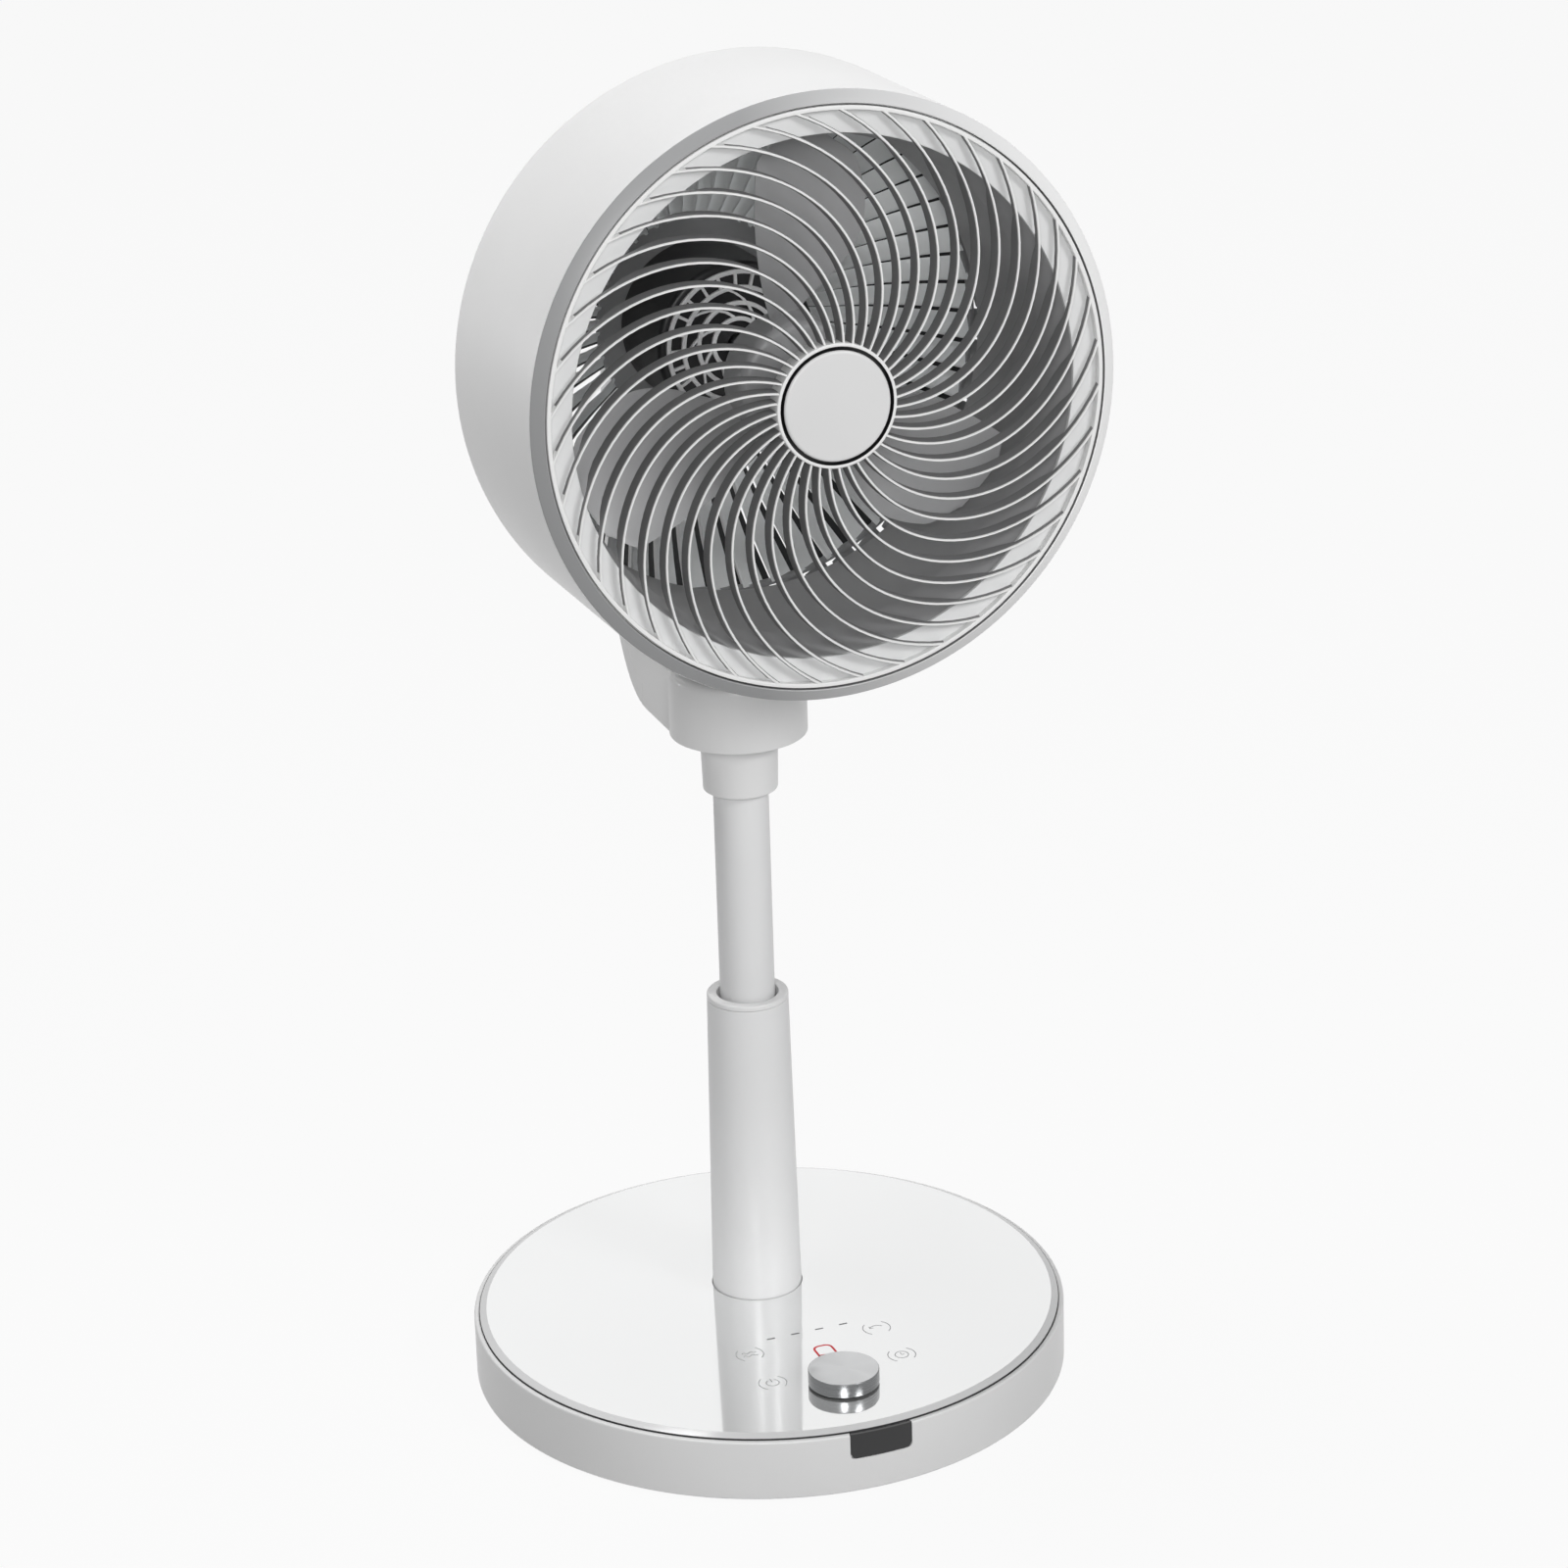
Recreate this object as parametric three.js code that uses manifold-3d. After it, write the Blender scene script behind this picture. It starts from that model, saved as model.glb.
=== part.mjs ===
// Air circulator fan: round weighted base with a glass control top, telescopic column,
// swinging neck with a rear arm, and a deep round head that tilts on the arm.
// Millimetres, +Z up, the air blows towards -Y. The origin is the middle of the base, on the floor.
import * as THREE from 'three';
import { mergeVertices } from 'three/addons/utils/BufferGeometryUtils.js';
import Module from 'manifold-3d';

const wasm = await Module();
wasm.setup();

// ---------------------------------------------------------------- driving dimensions
const seat = 0.3;              // clearance between pieces that rest on or sit in each other
const roundBig = 40;           // facets round the base and the head
const roundMid = 28;           // facets round tubes and discs
const roundCan = 24;           // facets round the small motors and the gear post
const roundSmall = 12;         // facets round screws and pins
const roundShare = 0.3;        // how far the middle of a rounding lies inside its corner, of its radius
const past = 1;                // how far a cutting piece runs past what it cuts
const sunk = 0.5;              // how far a joined piece reaches into its neighbour

// base
const baseRadius = 160;
const baseWall = 2.8;
const baseHeight = 35;         // top of the side wall
const baseLift = 1;            // gap under the side wall
const rimRound = 2.6;          // rounding of the side wall's top edge
const deckThickness = 2.7;
const glassThickness = 6.1;
const glassGap = 0.4;          // dark seam round the glass
const glassCrown = 1.6;        // how far the glass's middle stands above its edge
const glassSlope = 15;         // width of the sloping border of the glass
const plateThickness = 2.5;
const footHeight = 1.2;
const footRadius = 9;
const footCount = 6;
const footInset = 22;          // foot circle inside the base's edge
const footCircle = baseRadius - footInset;
const ballastInner = 62;
const ballastInset = 21;       // clear of the inlet's inner end
const ballastOuter = baseRadius - ballastInset;
const ballastThickness = 7.5;
const baseScrewCount = 4;
const baseScrewInset = 11;     // screw circle inside the base's edge
const baseScrewCircle = baseRadius - baseScrewInset;
const screwRadius = 1.6;
const screwHeadRadius = 3.2;
const screwHeadHeight = 1.2;
const screwHeadSink = 1.1;     // top of a screw's head above the plate's underside
const bossRadius = 4.5;
const shellCutDepth = 8;       // depth of the window and inlet holes in the side wall

// controls
const knobRadius = 18.7;
const knobHeight = 7.8;
const knobRoof = 2.2;          // solid top of the knob above its stem
const knobChamfer = 0.7;
const knobFloat = 1.2;         // gap under the knob, which its press uses
const knobInset = 49.4;        // middle of the knob inside the base's front edge
const knobReach = baseRadius - knobInset;
const stemRadius = 3;
const stemClearance = 0.35;
const encoderSize = 13;
const encoderHeight = 7;
const encoderFloor = 2;        // closed bottom under the stem
const pressTravel = 1.1;       // room under the stem
const boardThickness = 1.6;
const boardCorner = 6;
const touchBoardWidth = 150;
const touchBoardDepth = 84;
const touchBoardShift = 25.3;  // middle of the board behind the knob
const touchBoardReach = knobReach - touchBoardShift;
const displayWidth = 26;
const displayDepth = 34;
const displayShift = 34.6;     // middle of the display behind the knob
const displayReach = knobReach - displayShift;
const windowWidth = 35;
const windowHeight = 13.4;
const windowCorner = 3;
const windowThickness = 2.2;
const windowInset = 0.1;
const windowDrop = 0.9;        // below the rounding of the side wall
const powerBoardWidth = 96;
const powerBoardDepth = 46;
const powerBoardInset = 64;    // middle of the board inside the base's back edge
const powerBoardReach = baseRadius - powerBoardInset;
const transformerWidth = 26;
const transformerDepth = 22;
const transformerHeight = 8.6;
const transformerSide = -24;   // these sides are from the board's middle
const relayWidth = 18;
const relayDepth = 14;
const relayHeight = 6.2;
const relaySide = 8;
const relayFront = 8;
const capacitorRadius = 5;
const capacitorHeight = 8;
const capacitorSide = 32;
const capacitorBack = 6;
const inletWidth = 24;
const inletHeight = 15;
const inletDepth = 20;
const inletCorner = 2;
const socketWidth = 18;
const socketHeight = 9.6;
const socketDepth = 13;
const pinRadius = 1.2;
const pinLength = 6.5;
const pinSpacing = 9;
const pinRoot = 4;             // length of a pin inside the socket's floor

// column
const columnBack = 17.6;       // column axis behind the base's middle
const sleeveBottomRadius = 24.4;
const sleeveTopRadius = 21.8;
const sleeveTop = 206.5;
const sleeveWall = 2.2;
const capHeight = 2.7;
const capBore = 16.4;
const capSkirt = 8;
const softEdge = 0.6;          // chamfer on the cap and the collar
const flangeRadius = 40;
const flangeThickness = 3.7;
const spigotHeight = 17;
const spigotBore = 19;
const tubeRadius = 14.65;
const tubeWall = 2;
const tubeBottom = 158;
const shoeHeight = 18;
const shoeRadius = 18.6;
const bushHeight = 22;
const slideFit = 0.35;
const bushDrop = 10;           // top of the bush under the sleeve's top
const collarHeight = 29.7;
const collarBottomRadius = 19.7;
const collarTopRadius = 20.5;
const neckBottom = 358.5;
const washerThickness = 1.4;
const postBore = 6;

// neck and arm
const neckRadius = 36.2;
const neckTop = 394;
const neckRound = 5;
const neckWall = 2.6;
const neckFacets = 36;
const armHalfWidth = 34.5;     // flat sides of the arm at its foot
const armTopHalfWidth = 30;
const armTaperStart = 430;
const armTaperEnd = 520;
const bootFlat = 46;           // length of the flat underside behind the column axis
const bootCurve = [31, 22, 27]; // pull at the flat end, then back and up at the upright end
const innerCurve = [38, 12, 36]; // pull down the upright, then forward twice over the neck
const pivotBack = 96.4;        // tilt axis behind the column axis
const pivotHeight = 568.5;
const earRadius = 18;
const earSolid = 26;           // solid length of the ears below the tilt axis
const armRise = 452;           // height at which the arm's back becomes upright
const slotHalfWidth = 10.8;
const slotDepth = 22;
const coverDepth = 14;
const coverStart = 6;          // behind the flat underside
const coverBend = [20, 2, 16, 52];
const earWall = 1.7;
const tiltMotorRadius = 13.2;
const tiltShaftRadius = 4;
const earCapThickness = 1.7;
const shaftCover = 3;          // closed ends over the tilt shaft

// swing drive
const gearModule = 1;
const sunTeeth = 36;
const pinionTeeth = 12;
const gearHeight = 6;
const gearAddendum = 0.8;
const gearDedendum = 1.2;
const pressureAngle = 25;
const gearBacklash = 0.3;
const gearPlay = 0.05;         // extra distance between the two gear axes
const swingMotorRadius = 13;
const motorLug = [8, 40, 3];
const axleRadius = 2;
const axleDepth = 3;

// head, measured from the middle of its front ring: +Y runs back along its axis
const headTilt = 2;            // degrees that the head leans back at rest
const headDepth = 242;         // front ring to tilt axis
const drumWall = 2.5;
const drumBack = 122.6;
const drumRound = 4;
const bandWidth = 6.6;         // bevelled band round the grille
const bandDepth = 4;
const grilleRadius = 143;
const grilleGap = 0.8;
const drumRadius = grilleRadius + grilleGap + bandWidth;
const ringWidth = 2.2;
const flareWidth = 14;         // pale flare behind the outer ends of the ribs
const flareRadius = grilleRadius - flareWidth;
const flareDepth = 4.5;
const flareThickness = 2.5;
const bezelSkirt = 8;
const ductStep = 5;            // the duct is narrower than the flare
const ductRadius = flareRadius - ductStep;
const ductWall = 2;
const ductFlange = 8;
const ductBack = 112;
const ductRun = 26;            // length of the funnel from the flare to the duct
const ribCount = 40;
const ribThickness = 1.9;
const ribDepth = 8.5;
const ribRimDepth = 3;
const ribSweep = 60;           // degrees that a rib sweeps from hub to rim
const ribHubLean = 9;          // degrees that a rib leans from the radius at the hub
const ribSteps = 5;
const grilleDome = 8;
const hubRingRadius = 30.8;
const hubRingWidth = 1.7;
const hubPlate = 1.6;
const capRadius = 28.3;
const capThickness = 4.6;
const capProud = 0.4;
const capBevel = 1.6;
const hubProud = 0.8;          // how far the hub's ring stands in front of the ribs

const rearRimStep = 4.4;       // the rear guard's rim inside the drum's side
const rearRim = drumRadius - rearRimStep;
const rearRimBand = 3;
const rearPlate = 3;
const rearHub = 54;
const rearBore = 12;
const tiltReach = 33.6;        // back of the rear cap to the tilt axis
const rearCapBack = headDepth - tiltReach;
const rearCapDepth = 20.4;     // back of the rear cap behind the rear guard's plate
const rearHubBack = rearCapBack - rearCapDepth;
const rearBulge = 14;          // how far the rear guard bows out of a straight cone
const finCount = 40;
const finThickness = 2.4;
const finDepth = 7;
const finShare = 0.7;          // share of their spacing that the slanted fins cover
const finSteps = 2;
const guardRingCount = 1;
const guardRingWidth = 2.6;
const guardRingDepth = 4.2;
const guardRingSink = 0.8;     // the rings lie under the outer edges of the fins
const motorRadius = 42;
const motorDepth = 60;         // front of the motor to the back of the guard's plate
const motorFront = rearHubBack - motorDepth;
const motorWall = 2.4;
const motorRound = 3;
const statorFoot = 4;
const statorRoom = 6;          // behind the stator
const statorRadius = 36;
const statorBore = 20;
const statorLength = 24;
const statorSlots = 6;
const statorSlot = [9, 4];
const magnetRadius = 19.3;
const shaftRadius = 4;
const shaftFront = 32;
const rearCapRadius = 50;
const rearCapWall = 2.4;
const rearCapRound = [8, 2, 3, 9];
const knucklePlate = 3.4;
const knucklePlateRadius = 24;
const knuckleHalfWidth = 10;
const knuckleEye = 14;
const knuckleBar = 22;

// impeller
const bladeCount = 3;
const bladeTipGap = 4;         // running gap between the blades and the duct
const bladeRadius = ductRadius - bladeTipGap;
const bladeFront = 38;
const bladeLength = 20;
const bladeLead = 116;         // front edge of the first blade at its root, in degrees from +X
const bladeLeadSweep = 18;     // how far the front edge turns from root to tip
const bladeTrail = 80;         // rear edge at the root
const bladeTrailSweep = 7;
const bladeBelly = 19;         // how far the rear edge bulges half way out
const bladeCurl = 0.8;         // below 1 the edges turn most near the root
const bladeThickness = 2.2;
const bladeBow = 4;
const bladeNarrowing = 0.1;
const bladeRows = 6;
const bladeColumns = 4;
const rotorHubRadius = 32;
const rotorHubFront = 36;
const rotorHubLength = 26;
const rotorHubWall = 2.4;
const rotorHubBevel = 6;
const rotorBoss = 11;
const rotorBossLength = 50;
const nutRadius = 11;
const nutLength = 8;
const nutBevel = 3;

// heights in the base that follow from the sizes above
const plateBottom = footHeight + seat;
const plateTop = plateBottom + plateThickness;
const glassEdge = baseHeight + 0.1;
const glassTop = glassEdge + glassCrown;
const glassBottom = glassTop - glassThickness;
const deckTop = glassBottom - seat;
const deckBottom = deckTop - deckThickness;
const screwHeadTop = plateBottom + screwHeadSink;
const screwTip = deckBottom - 4;
const boreTop = deckBottom - 3;
const ballastBottom = plateTop + seat;
const ballastTop = ballastBottom + ballastThickness;
const collarTop = neckBottom - washerThickness - 2 * seat;
const collarBottom = collarTop - collarHeight;
const headLean = THREE.MathUtils.degToRad(headTilt);

// ---------------------------------------------------------------- shape helpers
// A closed triangle geometry as a solid: shared corners joined, empty triangles left out, faces out.
function solid(geometry) {
  geometry.deleteAttribute('normal');
  geometry.deleteAttribute('uv');
  const merged = mergeVertices(geometry, 1e-4);
  const corner = merged.attributes.position.array;
  const kept = [];
  let volume = 0;
  const a = new THREE.Vector3();
  const b = new THREE.Vector3();
  const c = new THREE.Vector3();
  for (let i = 0; i < merged.index.count; i += 3) {
    const [p, q, r] = [0, 1, 2].map((k) => merged.index.getX(i + k));
    if (p === q || q === r || r === p) continue;
    kept.push(p, q, r);
    a.fromArray(corner, 3 * p);
    b.fromArray(corner, 3 * q);
    c.fromArray(corner, 3 * r);
    volume += a.dot(b.cross(c));
  }
  if (volume < 0) kept.reverse();
  return new wasm.Manifold(new wasm.Mesh({
    numProp: 3,
    vertProperties: new Float32Array(corner),
    triVerts: new Uint32Array(kept),
  }));
}

// The joined or cut solid as a geometry again.
function geometryOf(shape) {
  const mesh = shape.getMesh();
  const geometry = new THREE.BufferGeometry();
  geometry.setAttribute('position', new THREE.BufferAttribute(mesh.vertProperties, 3));
  geometry.setIndex(new THREE.BufferAttribute(mesh.triVerts, 1));
  geometry.computeVertexNormals();
  return geometry;
}

// A turned solid about the Y axis from [radius, y] points. Profiles off the axis close on themselves.
function turnedY(profile, facets) {
  const points = profile.map(([r, y]) => new THREE.Vector2(r, y));
  const last = profile[profile.length - 1];
  if (profile[0][0] > 0 || last[0] > 0) points.push(points[0].clone());
  return new THREE.LatheGeometry(points, facets);
}

// The same about the Z axis, with its axis moved to x, y.
function turned(profile, facets, x = 0, y = 0) {
  return solid(turnedY(profile, facets).rotateX(Math.PI / 2).translate(x, y, 0));
}

function headTurned(profile, facets) {
  return solid(turnedY(profile, facets));
}

function ringProfile(inner, outer, low, high) {
  return [[inner, low], [outer, low], [outer, high], [inner, high]];
}

function discProfile(radius, low, high) {
  return [[0, low], [radius, low], [radius, high], [0, high]];
}

// A cylinder along X between two x values, at y, z.
function rodX(radius, from, to, y, z, facets) {
  const rod = new THREE.CylinderGeometry(radius, radius, to - from, facets);
  return solid(rod.rotateZ(Math.PI / 2).translate((from + to) / 2, y, z));
}

function block(width, depth, height, x, y, bottom) {
  return solid(new THREE.BoxGeometry(width, depth, height).translate(x, y, bottom + height / 2));
}

// A flat outline in X and Y, raised from low to high.
function raised(shape, low, high, curveSegments = 6) {
  const options = { depth: high - low, bevelEnabled: false, curveSegments };
  return solid(new THREE.ExtrudeGeometry(shape, options).translate(0, 0, low));
}

// A side outline in Y (first) and Z (second), as wide as 2 * half in X.
function sideways(shape, half, curveSegments = 6) {
  const options = { depth: 2 * half, bevelEnabled: false, curveSegments };
  const toSide = new THREE.Matrix4().makeBasis(
    new THREE.Vector3(0, 1, 0), new THREE.Vector3(0, 0, 1), new THREE.Vector3(1, 0, 0));
  return solid(new THREE.ExtrudeGeometry(shape, options).applyMatrix4(toSide).translate(-half, 0, 0));
}

// A front outline in X (first) and Z (second), from near to far in Y.
function frontways(shape, near, far, curveSegments = 6) {
  const options = { depth: far - near, bevelEnabled: false, curveSegments };
  return solid(new THREE.ExtrudeGeometry(shape, options).rotateX(Math.PI / 2).translate(0, far, 0));
}

function polygon(points) {
  return new THREE.Shape(points.map(([u, v]) => new THREE.Vector2(u, v)));
}

function roundedRectangle(width, height, corner, x = 0, y = 0) {
  const shape = new THREE.Shape();
  const [left, right] = [x - width / 2, x + width / 2];
  const [low, high] = [y - height / 2, y + height / 2];
  shape.moveTo(left + corner, low);
  shape.lineTo(right - corner, low);
  shape.absarc(right - corner, low + corner, corner, -Math.PI / 2, 0);
  shape.lineTo(right, high - corner);
  shape.absarc(right - corner, high - corner, corner, 0, Math.PI / 2);
  shape.lineTo(left + corner, high);
  shape.absarc(left + corner, high - corner, corner, Math.PI / 2, Math.PI);
  shape.lineTo(left, low + corner);
  shape.absarc(left + corner, low + corner, corner, Math.PI, Math.PI * 1.5);
  return shape;
}

function joined(shapes) {
  return shapes.reduce((sum, next) => sum.add(next));
}

function aroundCircle(count, radius, place, phase = 0) {
  return Array.from({ length: count }, (_, i) => {
    const angle = phase + (2 * Math.PI * i) / count;
    return place(radius * Math.cos(angle), radius * Math.sin(angle), i);
  });
}

// ---------------------------------------------------------------- materials and groups
function finish(color, roughness, metalness = 0) {
  return new THREE.MeshStandardMaterial({ color, roughness, metalness });
}

const whitePlastic = finish(0xf1f1f0, 0.35);
const greyPlastic = finish(0xb9baba, 0.45);
const paleGrille = finish(0xe9e9e8, 0.4);
const darkPlastic = finish(0x66686a, 0.5);
const blackPlastic = finish(0x1f2021, 0.4);
const whiteGlass = finish(0xf4f5f5, 0.06);
const aluminium = finish(0xcfd1d3, 0.28, 1);
const steel = finish(0x9a9da0, 0.35, 1);
const iron = finish(0x4c4e50, 0.6, 1);
const copper = finish(0xb06a3a, 0.4, 1);
const paintedTube = finish(0xdadbdb, 0.3, 0.2);
const rubber = finish(0x2a2a2b, 0.9);
const board = finish(0x1d5a3c, 0.6);
const acetal = finish(0xe2e0d6, 0.4);

const fan = new THREE.Group();
const head = new THREE.Group();
head.position.set(0, columnBack + pivotBack, pivotHeight);
head.rotation.x = -headLean;
fan.add(head);

function place(group, name, shape, material, offset = 0) {
  const mesh = new THREE.Mesh(geometryOf(shape), material);
  mesh.name = name;
  mesh.position.y = offset;
  group.add(mesh);
}

function fixed(name, shape, material) {
  place(fan, name, shape, material);
}

// Head pieces are drawn from the front ring's middle, so they move forward of the tilt axis.
function onHead(name, shape, material) {
  place(head, name, shape, material, -headDepth);
}

// ---------------------------------------------------------------- base
const screwPlaces = aroundCircle(baseScrewCount, baseScrewCircle, (x, y) => [x, y], Math.PI / 4);

function sleeveOuter(z) {
  const share = (z - deckBottom) / (sleeveTop - deckBottom);
  return sleeveBottomRadius + (sleeveTopRadius - sleeveBottomRadius) * share;
}

function makeBaseShell() {
  const inner = baseRadius - baseWall;
  const rim = baseRadius - rimRound;
  const round = [1, 2].map((i) => {
    const angle = (Math.PI / 2) * (i / 2);
    return [rim + rimRound * Math.cos(angle), baseHeight - rimRound + rimRound * Math.sin(angle)];
  });
  const profile = [
    [inner, baseLift], [baseRadius, baseLift], [baseRadius, baseHeight - rimRound], ...round,
    [rim, deckTop], [0, deckTop], [0, deckBottom], [inner, deckBottom], [inner, baseLift],
  ];
  let shell = solid(turnedY(profile.reverse(), roundBig).rotateX(Math.PI / 2));
  const throat = turned(discProfile(sleeveBottomRadius + seat, deckBottom - past, deckTop + past), roundMid,
    0, columnBack);
  shell = shell.subtract(throat);
  const stemHole = turned(discProfile(stemRadius + stemClearance, deckBottom - past, deckTop + past),
    roundSmall, 0, -knobReach);
  const displayHole = block(displayWidth + 2 * seat, displayDepth + 2 * seat, deckThickness + 2 * past,
    0, -displayReach, deckBottom - past);
  const windowHole = frontways(
    roundedRectangle(windowWidth + 2 * seat, windowHeight + 2 * seat, windowCorner, 0, windowMiddle()),
    -baseRadius - past, -baseRadius + shellCutDepth);
  const inletHole = frontways(
    roundedRectangle(inletWidth + 2 * seat, inletHeight + 2 * seat, inletCorner, 0, inletMiddle()),
    baseRadius - shellCutDepth, baseRadius + past);
  shell = shell.subtract(stemHole).subtract(displayHole).subtract(windowHole).subtract(inletHole);
  for (const [x, y] of screwPlaces) {
    const boss = turned(discProfile(bossRadius, plateTop + seat, deckBottom + sunk), roundSmall, x, y);
    const bore = turned(discProfile(screwRadius + seat / 1.5, plateTop, boreTop), roundSmall, x, y);
    shell = shell.add(boss).subtract(bore);
  }
  return shell;
}

function windowMiddle() {
  return baseHeight - rimRound - windowDrop - windowHeight / 2;
}

function inletMiddle() {
  return (ballastBottom + deckBottom) / 2;
}

function makeGlass() {
  const edge = baseRadius - rimRound - glassGap;
  const crown = [0, 1, 2, 3].map((i) => {
    const share = i / 3;
    return [edge - glassSlope * share, glassEdge + glassCrown * Math.sin((Math.PI / 2) * share)];
  });
  const glass = turned([[0, glassBottom], [edge, glassBottom], ...crown, [0, glassTop]], roundBig);
  const throat = turned(discProfile(sleeveBottomRadius + seat, glassBottom - past, glassTop + past),
    roundMid, 0, columnBack);
  const stemHole = turned(discProfile(stemRadius + stemClearance, glassBottom - past, glassTop + past),
    roundSmall, 0, -knobReach);
  return glass.subtract(throat).subtract(stemHole);
}

// The side window follows the curve of the side wall.
function makeWindow() {
  const outline = roundedRectangle(windowWidth, windowHeight, windowCorner, 0, windowMiddle());
  const blank = frontways(outline, -baseRadius - past, -baseRadius + shellCutDepth);
  const wall = turned(ringProfile(baseRadius - windowThickness, baseRadius - windowInset,
    0, baseHeight), roundBig);
  return blank.intersect(wall);
}

function makeBottomPlate() {
  let plate = turned(discProfile(baseRadius - baseWall - seat, plateBottom, plateTop), roundBig);
  for (const [x, y] of screwPlaces) {
    const hole = turned(discProfile(screwRadius + seat, plateBottom - past, plateTop + past),
      roundSmall, x, y);
    const sink = turned(discProfile(screwHeadRadius + seat, plateBottom - past, screwHeadTop + seat),
      roundSmall, x, y);
    plate = plate.subtract(hole).subtract(sink);
  }
  return plate;
}

function makeBaseScrew(x, y) {
  const low = screwHeadTop - screwHeadHeight;
  return turned([
    [0, low], [screwHeadRadius, low], [screwHeadRadius, screwHeadTop], [screwRadius, screwHeadTop],
    [screwRadius, screwTip], [0, screwTip + sunk],
  ], roundSmall, x, y);
}

fixed('base_shell', makeBaseShell(), whitePlastic);
fixed('glass_top', makeGlass(), whiteGlass);
fixed('side_window', makeWindow(), blackPlastic);
fixed('bottom_plate', makeBottomPlate(), greyPlastic);
fixed('ballast_ring',
  turned(ringProfile(ballastInner, ballastOuter, ballastBottom, ballastTop), roundMid), iron);
aroundCircle(footCount, footCircle, (x, y, i) => {
  fixed(`foot_${i + 1}`, turned(discProfile(footRadius, 0, footHeight), roundSmall, x, y), rubber);
}, Math.PI / footCount);
screwPlaces.forEach(([x, y], i) => fixed(`base_screw_${i + 1}`, makeBaseScrew(x, y), steel));

// ---------------------------------------------------------------- boards, display and inlet
const boardTop = deckBottom - seat;
const boardBottom = boardTop - boardThickness;

function makeTouchBoard() {
  const sheet = raised(roundedRectangle(touchBoardWidth, touchBoardDepth, boardCorner,
    0, -touchBoardReach), boardBottom, boardTop, 4);
  const stemHole = turned(discProfile(stemRadius + stemClearance, boardBottom - past, boardTop + past),
    roundSmall, 0, -knobReach);
  return sheet.subtract(stemHole);
}

function makeEncoder() {
  const top = boardBottom - seat;
  const body = block(encoderSize, encoderSize, encoderHeight, 0, -knobReach, top - encoderHeight);
  const well = turned(discProfile(stemRadius + stemClearance, top - encoderHeight + encoderFloor,
    top + past), roundSmall, 0, -knobReach);
  return body.subtract(well);
}

const knobBottom = glassTop + knobFloat;
const knobTop = knobBottom + knobHeight;
const stemTop = knobTop - knobRoof;
const stemBottom = boardBottom - seat - encoderHeight + encoderFloor + pressTravel;

function makeKnob() {
  const bore = stemTop + seat;
  return turned([
    [0, bore], [stemRadius + seat, bore], [stemRadius + seat, knobBottom], [knobRadius, knobBottom],
    [knobRadius, knobTop - knobChamfer], [knobRadius - knobChamfer, knobTop], [0, knobTop],
  ], roundMid, 0, -knobReach);
}

function makePowerBoard() {
  const bottom = ballastTop + seat;
  const top = bottom + boardThickness;
  const y = powerBoardReach;
  return joined([
    block(powerBoardWidth, powerBoardDepth, boardThickness, 0, y, bottom),
    block(transformerWidth, transformerDepth, transformerHeight + sunk, transformerSide, y, top - sunk),
    block(relayWidth, relayDepth, relayHeight + sunk, relaySide, y - relayFront, top - sunk),
    turned(discProfile(capacitorRadius, top - sunk, top + capacitorHeight), roundSmall,
      capacitorSide, y + capacitorBack),
  ]);
}

// The inlet is a blind socket in the back of the base with two contact pins at its bottom.
const inletBack = Math.sqrt(baseRadius ** 2 - (inletWidth / 2) ** 2) - windowInset * 2;

function makeInlet() {
  const outer = frontways(roundedRectangle(inletWidth, inletHeight, inletCorner, 0, inletMiddle()),
    inletBack - inletDepth, inletBack);
  const socket = frontways(roundedRectangle(socketWidth, socketHeight, socketHeight / 2 - 0.4,
    0, inletMiddle()), inletBack - socketDepth, inletBack + past);
  let body = outer.subtract(socket);
  for (const side of [-1, 1]) {
    body = body.subtract(makePin(side, pinRadius + seat / 2, pinRoot + seat));
  }
  return body;
}

function makePin(side, radius, rooted) {
  const bottom = inletBack - socketDepth;
  const pin = new THREE.CylinderGeometry(radius, radius, pinLength + rooted, roundSmall);
  return solid(pin.translate((side * pinSpacing) / 2, bottom + (pinLength - rooted) / 2, inletMiddle()));
}

fixed('touch_board', makeTouchBoard(), board);
fixed('display_module', block(displayWidth, displayDepth, glassBottom - seat - deckBottom,
  0, -displayReach, deckBottom), blackPlastic);
fixed('encoder_body', makeEncoder(), blackPlastic);
fixed('encoder_stem', turned(discProfile(stemRadius, stemBottom, stemTop), roundSmall,
  0, -knobReach), steel);
fixed('control_knob', makeKnob(), aluminium);
fixed('power_board', makePowerBoard(), board);
fixed('inlet_socket', makeInlet(), blackPlastic);
[-1, 1].forEach((side, i) => fixed(`inlet_pin_${i + 1}`, makePin(side, pinRadius, pinRoot), steel));

// ---------------------------------------------------------------- column
const flangeTop = deckBottom - seat;
const sleeveBottom = flangeTop + seat;
const spigotTop = flangeTop + spigotHeight;
const bushTop = sleeveTop - bushDrop;
const bushBottom = bushTop - bushHeight;

function sleeveInner(z) {
  return sleeveOuter(z) - sleeveWall;
}

function onColumn(profile, facets = roundMid) {
  return turned(profile, facets, 0, columnBack);
}

function makeFlange() {
  const spigotRadius = sleeveInner(spigotTop) - seat;
  return onColumn([
    [spigotBore, flangeTop - flangeThickness], [flangeRadius, flangeTop - flangeThickness],
    [flangeRadius, flangeTop], [spigotRadius, flangeTop], [spigotRadius, spigotTop],
    [spigotBore, spigotTop],
  ]);
}

function makeSleeve() {
  return onColumn([
    [sleeveInner(sleeveBottom), sleeveBottom], [sleeveOuter(sleeveBottom), sleeveBottom],
    [sleeveOuter(sleeveTop), sleeveTop], [sleeveInner(sleeveTop), sleeveTop],
  ]);
}

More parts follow.
